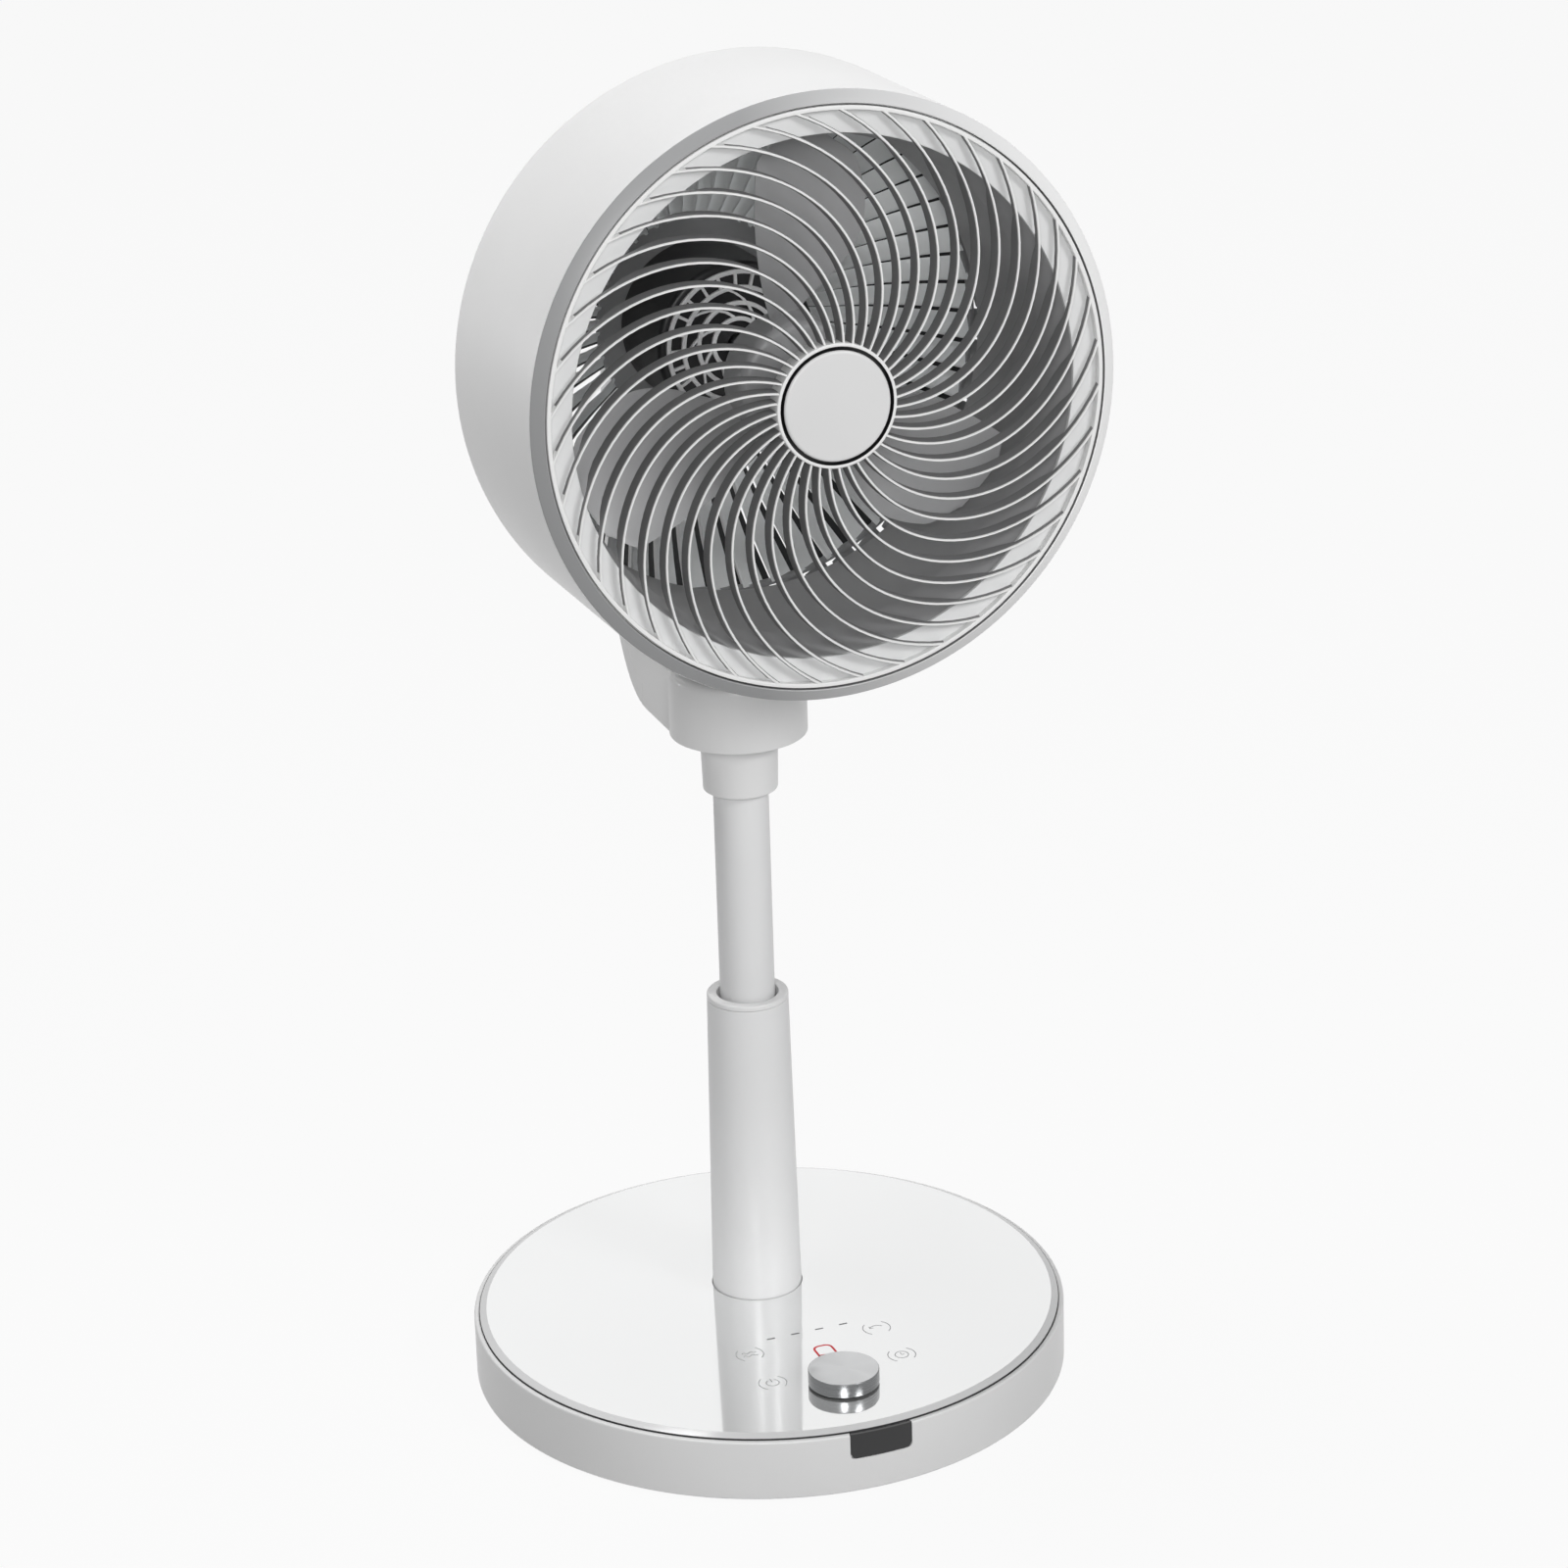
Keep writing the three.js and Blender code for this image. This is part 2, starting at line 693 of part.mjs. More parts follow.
function makeSleeveCap() {
  const low = sleeveTop + seat;
  const high = low + capHeight;
  const skirt = sleeveTop - capSkirt;
  const skirtRadius = sleeveInner(sleeveTop) - seat;
  return onColumn([
    [capBore, skirt], [skirtRadius, skirt], [skirtRadius, low], [sleeveTopRadius, low],
    [sleeveTopRadius, high - softEdge], [sleeveTopRadius - softEdge, high], [capBore, high],
  ]);
}

function makeGuideBush() {
  return onColumn([
    [tubeRadius + slideFit, bushBottom], [sleeveInner(bushBottom) - seat, bushBottom],
    [sleeveInner(bushTop) - seat, bushTop], [tubeRadius + slideFit, bushTop],
  ]);
}

function makeCollar() {
  return onColumn([
    [tubeRadius + seat, collarBottom], [collarBottomRadius - softEdge, collarBottom],
    [collarBottomRadius, collarBottom + softEdge], [collarTopRadius, collarTop],
    [tubeRadius + seat, collarTop],
  ]);
}

fixed('column_flange', makeFlange(), steel);
fixed('outer_sleeve', makeSleeve(), paintedTube);
fixed('sleeve_cap', makeSleeveCap(), whitePlastic);
fixed('guide_bush', makeGuideBush(), acetal);
fixed('inner_tube', onColumn(ringProfile(tubeRadius - tubeWall, tubeRadius, tubeBottom, collarTop)),
  paintedTube);
fixed('slide_shoe', onColumn(ringProfile(tubeRadius + seat, shoeRadius, bushBottom - seat - shoeHeight,
  bushBottom - seat)), acetal);
fixed('column_collar', makeCollar(), whitePlastic);

// ---------------------------------------------------------------- neck shell and arm
const pivotY = columnBack + pivotBack;
const floorTop = neckBottom + neckWall;

// Side outline of the arm, shrunk by inset all round. The first number is measured along Y.
function armOutline(inset, top) {
  const back = pivotY + earRadius - inset;
  const front = pivotY - earRadius + inset;
  const low = neckBottom + inset;
  const high = neckTop - inset;
  const shape = new THREE.Shape();
  shape.moveTo(columnBack, low);
  shape.lineTo(columnBack + bootFlat, low);
  const [flatPull, backPull, upPull] = bootCurve;
  shape.bezierCurveTo(columnBack + bootFlat + flatPull, low, back - backPull, low + upPull, back, armRise);
  if (top === undefined) {
    shape.lineTo(back, pivotHeight);
    shape.absarc(pivotY, pivotHeight, earRadius, 0, Math.PI);
  } else {
    shape.lineTo(back, top);
    shape.lineTo(front, top);
  }
  shape.lineTo(front, armRise);
  const [downPull, nearPull, farPull] = innerCurve;
  shape.bezierCurveTo(front, armRise - downPull, front - nearPull + inset, high,
    front - farPull + inset, high);
  shape.lineTo(columnBack, high);
  return shape;
}

// Front outline that narrows the arm towards its ears.
function armTaper(inset) {
  const foot = armHalfWidth - inset;
  const ear = armTopHalfWidth - inset;
  const top = pivotHeight + 2 * earRadius;
  return polygon([
    [-foot, neckBottom - past], [foot, neckBottom - past], [foot, armTaperStart], [ear, armTaperEnd],
    [ear, top], [-ear, top], [-ear, armTaperEnd], [-foot, armTaperStart],
  ]);
}

function neckDrum(inset) {
  const low = neckBottom + inset;
  const high = neckTop - inset;
  const radius = neckRadius - inset;
  const turn = neckRound - inset;
  return onColumn([
    [0, low], [radius, low], [radius, high - turn], [radius - turn * roundShare, high - turn * roundShare],
    [radius - turn, high], [0, high],
  ], neckFacets);
}

function armBody(inset, top) {
  const side = sideways(armOutline(inset, top), armHalfWidth);
  return side.intersect(frontways(armTaper(inset), 0, pivotY + 2 * earRadius)).add(neckDrum(inset));
}

function makeNeckHollow() {
  const hollowTop = pivotHeight - earSolid - neckWall;
  const throat = onColumn(discProfile(tubeRadius - tubeWall + seat, neckBottom - past, floorTop + past));
  return armBody(neckWall, hollowTop).add(throat);
}

// The removable back of the arm: everything behind this line.
function coverRegion(grow) {
  const shape = new THREE.Shape();
  const startY = columnBack + bootFlat + coverStart - grow;
  const lineY = pivotY + earRadius - coverDepth - grow;
  const top = pivotHeight - earSolid - coverStart + grow;
  const bend = neckBottom + coverDepth;
  const [startPull, rise, linePull, dropPull] = coverBend;
  shape.moveTo(startY, neckBottom - past);
  shape.lineTo(startY, bend);
  shape.bezierCurveTo(startY + startPull, bend + rise, lineY - linePull, armRise - dropPull, lineY, armRise);
  shape.lineTo(lineY, top);
  shape.lineTo(pivotY + 2 * earRadius, top);
  shape.lineTo(pivotY + 2 * earRadius, neckBottom - past);
  return sideways(shape, neckRadius + past);
}

function cutEars(shell) {
  const slotBottom = pivotHeight - slotDepth;
  const slot = block(2 * slotHalfWidth, 4 * earRadius, 4 * earRadius, 0, pivotY, slotBottom);
  let cut = shell.subtract(slot);
  const pocket = slotHalfWidth + earWall;
  const reach = armTopHalfWidth + past;
  for (const side of [-1, 1]) {
    const [from, to] = side < 0 ? [-reach, -pocket] : [pocket, reach];
    cut = cut.subtract(rodX(tiltMotorRadius + seat, from, to, pivotY, pivotHeight, roundMid));
  }
  return cut.subtract(rodX(tiltShaftRadius + seat, -reach, reach, pivotY, pivotHeight, roundSmall));
}

const neckSolid = cutEars(armBody(0).subtract(makeNeckHollow()));
fixed('neck_shell', neckSolid.subtract(coverRegion(seat)), whitePlastic);
fixed('arm_cover', neckSolid.intersect(coverRegion(0)), whitePlastic);

// ---------------------------------------------------------------- tilt drive in the ears
function makeTiltMotor() {
  const from = slotHalfWidth + earWall + seat;
  const to = armTopHalfWidth - earCapThickness - seat;
  const can = rodX(tiltMotorRadius, from, to, pivotY, pivotHeight, roundCan);
  return can.subtract(rodX(tiltShaftRadius + seat, from - past, to - shaftCover,
    pivotY, pivotHeight, roundSmall));
}

function makeTiltBush() {
  const from = -armTopHalfWidth + earCapThickness + seat;
  const to = -slotHalfWidth - earWall - seat;
  const bush = rodX(tiltMotorRadius, from, to, pivotY, pivotHeight, roundCan);
  return bush.subtract(rodX(tiltShaftRadius + seat, from + shaftCover, to + past,
    pivotY, pivotHeight, roundSmall));
}

function makeEarCap(side) {
  const [from, to] = [armTopHalfWidth - earCapThickness, armTopHalfWidth - windowInset].map((x) => side * x);
  return rodX(tiltMotorRadius, Math.min(from, to), Math.max(from, to), pivotY, pivotHeight, roundCan);
}

const shaftEnd = armTopHalfWidth - earCapThickness - shaftCover - 2 * seat;
fixed('tilt_motor', makeTiltMotor(), iron);
fixed('tilt_bush', makeTiltBush(), acetal);
fixed('ear_cap_left', makeEarCap(-1), greyPlastic);
fixed('ear_cap_right', makeEarCap(1), greyPlastic);

// ---------------------------------------------------------------- swing drive in the neck
const sunPitch = (gearModule * sunTeeth) / 2;
const pinionPitch = (gearModule * pinionTeeth) / 2;
const gearLow = floorTop + 2 * seat;
const gearHigh = gearLow + gearHeight;
const pinionY = columnBack + sunPitch + pinionPitch + gearPlay;
const swingMotorTop = neckTop - neckWall - seat;
const swingMotorBottom = gearHigh + boardThickness;

// Involute gear outline about x, y. phase turns its first tooth away from +X.
function gearShape(teeth, x, y, phase) {
  const lean = THREE.MathUtils.degToRad(pressureAngle);
  const pitch = (gearModule * teeth) / 2;
  const base = pitch * Math.cos(lean);
  const tip = pitch + gearAddendum * gearModule;
  const root = pitch - gearDedendum * gearModule;
  const involute = (angle) => Math.tan(angle) - angle;
  const halfAt = (radius) => Math.PI / (2 * teeth) - gearBacklash / (2 * pitch)
    + involute(lean) - involute(Math.acos(Math.min(1, base / radius)));
  const start = Math.max(base, root);
  const flank = [0, 1, 2].map((i) => start + ((tip - start) * i) / 2);
  const points = [];
  for (let tooth = 0; tooth < teeth; tooth += 1) {
    const middle = phase + (2 * Math.PI * tooth) / teeth;
    const polar = (radius, angle) => points.push([
      x + radius * Math.cos(middle + angle), y + radius * Math.sin(middle + angle)]);
    if (root < base) polar(root, -halfAt(start));
    flank.forEach((radius) => polar(radius, -halfAt(radius)));
    [...flank].reverse().forEach((radius) => polar(radius, halfAt(radius)));
    if (root < base) polar(root, halfAt(start));
  }
  return polygon(points);
}

function makeSunGear() {
  const teeth = raised(gearShape(sunTeeth, 0, columnBack, Math.PI / 2), gearLow, gearHigh);
  const postRadius = tubeRadius - tubeWall - seat;
  const post = onColumn(discProfile(postRadius, collarBottom, gearLow + sunk), roundCan);
  const bore = onColumn(discProfile(postBore, collarBottom - past, gearHigh + past), roundSmall);
  return teeth.add(post).subtract(bore);
}

function makePinion() {
  const teeth = raised(gearShape(pinionTeeth, 0, pinionY, -Math.PI / 2 + Math.PI / pinionTeeth),
    gearLow + seat, gearHigh - seat);
  const axle = turned(discProfile(axleRadius, gearLow, swingMotorBottom + axleDepth), roundSmall,
    0, pinionY);
  return teeth.add(axle);
}

function makeSwingMotor() {
  const can = turned(discProfile(swingMotorRadius, swingMotorBottom, swingMotorTop), roundCan, 0, pinionY);
  const [width, length, thickness] = motorLug;
  const lug = block(width, length, thickness, 0, pinionY + thickness, swingMotorTop - thickness);
  const bore = turned(discProfile(axleRadius + seat, swingMotorBottom - past,
    swingMotorBottom + axleDepth + seat), roundSmall, 0, pinionY);
  return can.add(lug).subtract(bore);
}

fixed('slip_washer', onColumn(ringProfile(tubeRadius - tubeWall + seat, collarTopRadius - 0.7,
  collarTop + seat, collarTop + seat + washerThickness)), acetal);
fixed('swing_gear', makeSunGear(), acetal);
fixed('swing_pinion', makePinion(), acetal);
fixed('swing_motor', makeSwingMotor(), iron);

// ---------------------------------------------------------------- head shells
function makeDrum() {
  const front = bandDepth + seat;
  const turn = drumRound;
  const lip = rearRim + seat;
  return headTurned([
    [drumRadius - drumWall, front], [drumRadius, front], [drumRadius, drumBack - turn],
    [drumRadius - roundShare * turn, drumBack - roundShare * turn], [drumRadius - turn, drumBack],
    [lip, drumBack], [lip, drumBack - drumWall - past], [drumRadius - drumWall, drumBack - turn - past],
  ], roundBig);
}

// One ring holds the bevelled band, the recess for the grille and the pale flare.
function makeBezel() {
  const recess = grilleRadius + grilleGap;
  const back = flareDepth + flareThickness;
  const inside = drumRadius - drumWall - seat;
  return headTurned([
    [flareRadius, flareDepth], [recess, flareDepth], [recess, 0], [recess + sunk, -seat],
    [drumRadius - sunk, bandDepth - sunk], [drumRadius, bandDepth], [inside, bandDepth],
    [inside, back + bezelSkirt], [inside - ductWall, back + bezelSkirt], [inside - ductWall, back],
    [flareRadius, back],
  ], roundBig);
}

function makeDuct() {
  const front = flareDepth + flareThickness + seat;
  const mouth = flareRadius + 2 * seat;
  const flange = mouth + ductFlange;
  return headTurned([
    [mouth, front], [flange, front], [flange, front + ductWall], [mouth + ductWall, front + ductWall],
    [ductRadius + ductWall, front + ductRun], [ductRadius + ductWall, ductBack], [ductRadius, ductBack],
    [ductRadius, front + ductRun],
  ], roundBig);
}

onHead('drum_shell', makeDrum(), whitePlastic);
onHead('front_bezel', makeBezel(), greyPlastic);
onHead('air_duct', makeDuct(), darkPlastic);

// ---------------------------------------------------------------- front grille
// Angle that a rib has swept at a radius, starting at the hub with ribHubLean.
function ribAngle(radius) {
  const run = radius - hubRingRadius;
  const length = grilleRadius - hubRingRadius;
  const first = Math.tan(THREE.MathUtils.degToRad(ribHubLean)) / hubRingRadius;
  const second = (THREE.MathUtils.degToRad(ribSweep) - first * length) / length ** 2;
  return first * run + second * run ** 2;
}

function ribFront(radius) {
  const share = (radius - hubRingRadius) / (grilleRadius - hubRingRadius);
  return -grilleDome * (1 - share ** 2);
}

// A swept blade: at each radius a section, thin across the rib and deep along the axis. A slant moves
// its back edge round the head's axis.
function bladeStrip(stations, turn) {
  const position = [];
  const index = [];
  stations.forEach(({ radius, angle, lean, near, far, half, slant = 0 }) => {
    const a = angle + turn;
    const [x, z] = [radius * Math.cos(a), radius * Math.sin(a)];
    const [nx, nz] = [-Math.sin(a + lean) * half, Math.cos(a + lean) * half];
    const [sx, sz] = [(-Math.sin(a) * slant) / 2, (Math.cos(a) * slant) / 2];
    position.push(x + nx - sx, near, z + nz - sz, x - nx - sx, near, z - nz - sz);
    position.push(x - nx + sx, far, z - nz + sz, x + nx + sx, far, z + nz + sz);
  });
  const last = 4 * (stations.length - 1);
  for (let s = 0; s < last; s += 4) {
    for (let k = 0; k < 4; k += 1) {
      const [p, q] = [s + k, s + ((k + 1) % 4)];
      index.push(p, q, q + 4, p, q + 4, p + 4);
    }
  }
  index.push(0, 2, 1, 0, 3, 2, last, last + 1, last + 2, last, last + 2, last + 3);
  const strip = new THREE.BufferGeometry();
  strip.setAttribute('position', new THREE.Float32BufferAttribute(position, 3));
  strip.setIndex(index);
  return solid(strip);
}

function ribStations() {
  const start = hubRingRadius - hubRingWidth / 2;
  const end = grilleRadius - ringWidth / 2;
  const step = flareRadius - 2 * ribThickness;
  const radii = [];
  for (let i = 0; i <= ribSteps; i += 1) radii.push(start + ((step - start) * i) / ribSteps);
  radii.push(flareRadius - ribThickness / 2, end);
  return radii.map((radius) => {
    const slope = (ribAngle(radius + 0.5) - ribAngle(radius - 0.5)) * radius;
    const near = radius < end ? ribFront(radius) : seat;
    const depth = radius > step ? ribRimDepth : ribDepth;
    return {
      radius, angle: ribAngle(radius), lean: Math.atan(slope), near, far: near + depth,
      half: ribThickness / 2,
    };
  });
}

const hubFront = -grilleDome - hubProud;

function makeFrontGrille() {
  const stations = ribStations();
  const rim = headTurned(ringProfile(grilleRadius - ringWidth, grilleRadius, 0, flareDepth - seat),
    ribCount);
  const hubBack = ribFront(hubRingRadius) + ribDepth + hubPlate;
  const floor = hubFront + capThickness + seat;
  const inner = hubRingRadius - hubRingWidth;
  const hub = headTurned([
    [0, floor], [inner, floor], [inner, hubFront], [hubRingRadius, hubFront],
    [hubRingRadius, hubBack], [0, hubBack],
  ], ribCount);
  const ribs = aroundCircle(ribCount, 1, (x, z) => bladeStrip(stations, Math.atan2(z, x)));
  return joined([hub, rim, ...ribs]);
}

function makeHubCap() {
  const front = hubFront - capProud;
  const back = hubFront + capThickness;
  return headTurned([
    [0, front], [capRadius - capBevel, front], [capRadius, front + capBevel], [capRadius, back], [0, back],
  ], roundMid);
}

onHead('front_grille', makeFrontGrille(), paleGrille);
onHead('hub_cap', makeHubCap(), greyPlastic);

// ---------------------------------------------------------------- rear guard and motor
// Back face of the rear guard at a radius: a cone that bows outwards.
function guardBack(radius) {
  const share = (rearRim - radius) / (rearRim - rearHub);
  const rise = rearHubBack - drumBack;
  return drumBack + rise * share + rearBulge * Math.sin(Math.PI * share);
}

function makeRearGuard() {
  const rim = headTurned(ringProfile(rearRim - rearRimBand, rearRim, drumBack - 6, drumBack), roundBig);
  const plateFront = rearHubBack - rearPlate;
  const centre = headTurned(ringProfile(rearBore, rearHub + past, plateFront, rearHubBack), finCount);
  const parts = [rim, centre];
  const inner = rearHub;
  const outer = rearRim - rearRimBand / 2;
  const stations = Array.from({ length: finSteps + 1 }, (_, i) => {
    const radius = inner + ((outer - inner) * i) / finSteps;
    const far = guardBack(radius);
    const depth = i === 0 ? rearPlate : finDepth;
    const slant = finShare * ((2 * Math.PI * radius) / finCount) - finThickness;
    return { radius, angle: 0, lean: 0, near: far - depth, far, half: finThickness / 2, slant };
  });
  const turns = Array.from({ length: finCount }, (_, i) => (2 * Math.PI * (i + 0.5)) / finCount);
  turns.forEach((turn) => parts.push(bladeStrip(stations, turn)));
  for (let i = 1; i <= guardRingCount; i += 1) {
    const radius = rearHub + ((rearRim - rearHub) * i) / (guardRingCount + 1);
    const back = guardBack(radius) - guardRingSink;
    parts.push(headTurned(ringProfile(radius - guardRingWidth / 2, radius + guardRingWidth / 2,
      back - guardRingDepth, back), finCount));
  }
  return joined(parts);
}

const motorBack = rearHubBack - rearPlate - seat;

function makeMotorHousing() {
  const bore = shaftRadius + past;
  const turn = motorRound;
  return headTurned([
    [bore, motorFront], [motorRadius - turn, motorFront], [motorRadius, motorFront + turn],
    [motorRadius, motorBack],
    [motorRadius - motorWall, motorBack], [motorRadius - motorWall, motorFront + motorWall],
    [bore, motorFront + motorWall],
  ], roundMid);
}

const statorBack = motorBack - statorRoom;
const statorFront = statorBack - statorLength;

function makeStator() {
  const ring = headTurned(ringProfile(statorBore, statorRadius, statorFront, statorBack), roundCan);
  const foot = headTurned(ringProfile(statorRadius - sunk, motorRadius - motorWall - seat,
    statorBack - statorFoot, statorBack), roundCan);
  const [width, gap] = statorSlot;
  const slots = Array.from({ length: statorSlots }, (_, i) => {
    const slot = new THREE.BoxGeometry(width, statorLength + 2 * past, gap);
    slot.translate(statorBore + gap, (statorFront + statorBack) / 2, 0);
    return solid(slot.rotateY((2 * Math.PI * i) / statorSlots));
  });
  return slots.reduce((shape, slot) => shape.subtract(slot), ring.add(foot));
}

function makeRearCap() {
  const front = rearHubBack + seat;
  const inner = rearCapRadius - rearCapWall;
  const roof = rearCapBack - rearCapWall - past;
  const [bevel, edge, drop, side] = rearCapRound;
  return headTurned([
    [0, rearCapBack], [rearCapRadius - bevel, rearCapBack], [rearCapRadius - edge, rearCapBack - drop],
    [rearCapRadius, rearCapBack - side], [rearCapRadius, front], [inner, front],
    [inner, rearCapBack - side], [inner - drop, roof], [0, roof],
  ].reverse(), roundMid);
}

// The knuckle is screwed to the rear cap and its eye turns between the two ears.
function makeKnuckle() {
  const front = rearCapBack + seat;
  const plate = headTurned(discProfile(knucklePlateRadius, front, front + knucklePlate), roundMid);
  const bar = new THREE.BoxGeometry(2 * knuckleHalfWidth, headDepth - front - past, knuckleBar);
  bar.translate(0, (headDepth + front + past) / 2, 0);
  const eye = rodX(knuckleEye, -knuckleHalfWidth, knuckleHalfWidth, headDepth, 0, roundCan);
  const reach = knuckleHalfWidth + past;
  const bore = rodX(tiltShaftRadius + seat / 2, -reach, reach, headDepth, 0, roundSmall);
  return joined([plate, solid(bar), eye]).subtract(bore);
}

onHead('rear_guard', makeRearGuard(), paleGrille);
onHead('motor_housing', makeMotorHousing(), blackPlastic);
onHead('motor_stator', makeStator(), copper);
onHead('rear_cap', makeRearCap(), whitePlastic);
onHead('tilt_knuckle', makeKnuckle(), steel);
onHead('tilt_shaft', rodX(tiltShaftRadius, -shaftEnd, shaftEnd, headDepth, 0, roundSmall), steel);

// ---------------------------------------------------------------- impeller and rotor
const nutBack = rotorHubFront - seat;
const pressBore = shaftRadius + 0.1;

// One blade: a grid of points from root to tip and from leading to trailing edge, with a thickness.
function makeBlade(turn) {
  const position = [];
  const index = [];
  const root = rotorHubRadius - rotorHubWall / 2;
  const rows = bladeRows + 1;
  const columns = bladeColumns + 1;
  for (const side of [0, 1]) {
    for (let i = 0; i < rows; i += 1) {
      const share = i / bladeRows;
      const radius = root + (bladeRadius - root) * share;
      const bend = share ** bladeCurl;
      const lead = bladeLead + turn - bladeLeadSweep * bend;
      const trail = bladeTrail + turn - bladeTrailSweep * share - bladeBelly * Math.sin(Math.PI * bend);
      const length = bladeLength * (1 - bladeNarrowing * share ** 2);
      for (let j = 0; j < columns; j += 1) {
        const along = j / bladeColumns;
        const a = THREE.MathUtils.degToRad(lead + (trail - lead) * along);
        const bow = bladeBow * Math.sin(Math.PI * along);
        const y = bladeFront + (bladeLength - length) / 2 + length * along + bow + side * bladeThickness;
        position.push(radius * Math.cos(a), y, radius * Math.sin(a));
      }
    }
  }
  const at = (side, i, j) => side * rows * columns + i * columns + j;
  const quad = (p, q, r, s) => index.push(p, q, r, p, r, s);
  for (let i = 0; i < bladeRows; i += 1) {
    for (let j = 0; j < bladeColumns; j += 1) {
      quad(at(0, i, j), at(0, i, j + 1), at(0, i + 1, j + 1), at(0, i + 1, j));
      quad(at(1, i, j), at(1, i + 1, j), at(1, i + 1, j + 1), at(1, i, j + 1));
    }
    quad(at(0, i, 0), at(0, i + 1, 0), at(1, i + 1, 0), at(1, i, 0));
    const end = bladeColumns;
    quad(at(0, i, end), at(1, i, end), at(1, i + 1, end), at(0, i + 1, end));
  }
  for (let j = 0; j < bladeColumns; j += 1) {
    quad(at(0, 0, j), at(1, 0, j), at(1, 0, j + 1), at(0, 0, j + 1));
    quad(at(0, bladeRows, j), at(0, bladeRows, j + 1), at(1, bladeRows, j + 1), at(1, bladeRows, j));
  }
  const blade = new THREE.BufferGeometry();
  blade.setAttribute('position', new THREE.Float32BufferAttribute(position, 3));
  blade.setIndex(index);
  return solid(blade);
}

function makeImpeller() {
  const back = rotorHubFront + rotorHubLength;
  const skirt = rotorHubRadius - rotorHubWall;
  const bevel = rotorHubBevel;
  const roof = rotorHubFront + rotorHubWall + past;
  const hub = headTurned([
    [pressBore, rotorHubFront], [rotorHubRadius - bevel, rotorHubFront],
    [rotorHubRadius, rotorHubFront + bevel], [rotorHubRadius, back], [skirt, back],
    [skirt, roof + bevel], [skirt - bevel, roof], [rotorBoss, roof],
    [rotorBoss, rotorHubFront + rotorBossLength], [pressBore, rotorHubFront + rotorBossLength],
  ], roundMid);
  const blades = Array.from({ length: bladeCount }, (_, i) => makeBlade((360 * i) / bladeCount));
  return joined([hub, ...blades]);
}

function makeSpinnerNut() {
  const front = nutBack - nutLength;
  return headTurned([
    [0, front], [nutRadius - nutBevel, front], [nutRadius, front + nutBevel], [nutRadius, nutBack],
    [pressBore, nutBack], [pressBore, shaftFront - seat], [0, shaftFront - seat],
  ].reverse(), roundCan);
}

const rotorFront = statorFront + past;
onHead('impeller', makeImpeller(), darkPlastic);
onHead('spinner_nut', makeSpinnerNut(), darkPlastic);
onHead('motor_shaft', headTurned(discProfile(shaftRadius, shaftFront, motorBack + past), roundSmall), steel);
onHead('motor_rotor', headTurned(ringProfile(pressBore, magnetRadius, rotorFront,
  statorBack - past), roundCan), iron);

export default fan;
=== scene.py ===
# %% [markdown]
# # An air circulator fan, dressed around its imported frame
# The frame is the measured CAD model: every piece with its real size, on the body that carries it.
# This script loads it and builds smooth, bevelled pieces over the faceted solids, each in its own
# finish. Lengths are written in millimetres and turned into metres when a mesh is made.

# %% Load the frame
import math

import bmesh
import bpy
from mathutils import Matrix, Vector


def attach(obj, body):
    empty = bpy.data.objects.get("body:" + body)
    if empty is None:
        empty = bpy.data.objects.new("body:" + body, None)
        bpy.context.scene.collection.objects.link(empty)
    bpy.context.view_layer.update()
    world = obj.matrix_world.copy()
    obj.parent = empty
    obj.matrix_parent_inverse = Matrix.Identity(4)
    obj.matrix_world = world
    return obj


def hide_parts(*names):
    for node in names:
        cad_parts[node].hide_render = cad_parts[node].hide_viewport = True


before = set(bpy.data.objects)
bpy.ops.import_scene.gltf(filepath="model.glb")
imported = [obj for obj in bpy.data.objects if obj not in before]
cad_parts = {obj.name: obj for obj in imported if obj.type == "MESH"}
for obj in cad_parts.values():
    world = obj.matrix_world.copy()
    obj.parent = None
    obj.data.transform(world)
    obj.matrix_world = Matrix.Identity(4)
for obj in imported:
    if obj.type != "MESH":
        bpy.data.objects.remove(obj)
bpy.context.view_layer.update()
MM = 0.001

# %% [markdown]
# ## Where things are
# The base stands at the origin. The column is a little behind its middle, and the head turns up and
# down on a pivot behind the drum. The head leans back by two degrees at rest, so its pieces are
# drawn straight, from the middle of the front ring, and a function leans them into place.

# %% Places
COLUMN_Y = 17.6
PIVOT_Y = 114.0
PIVOT_Z = 568.5
HEAD_DEPTH = 242.0
LEAN = math.radians(2)


def on_base(x, y, z):
    return Vector((x, y, z))


def on_column(x, y, z):
    return Vector((x, y + COLUMN_Y, z))


def on_head(x, up, back):
    """A point x to the right, up and back from the middle of the front ring."""
    reach = back - HEAD_DEPTH
    y = PIVOT_Y + reach * math.cos(LEAN) + up * math.sin(LEAN)
    z = PIVOT_Z - reach * math.sin(LEAN) + up * math.cos(LEAN)
    return Vector((x, y, z))


def on_pivot(u, v, along):
    """For round pieces about the tilt axis: along is the distance to the right."""
    return Vector((along, PIVOT_Y + u, PIVOT_Z + v))


def moved(place, dx, dy):
    return lambda x, y, z: place(x + dx, y + dy, z)


print("front ring's middle at", [round(c, 1) for c in on_head(0, 0, 0)])

# %% [markdown]
# ## Making meshes
# Most of the fan is turned or drawn as a section, so three makers cover it: one spins a profile
# about an axis, one raises a flat outline, and one joins a row of sections. Real moulded edges are
# rounded, so a profile's corners carry a radius, and outlines get a bevel. Booleans cut the holes.


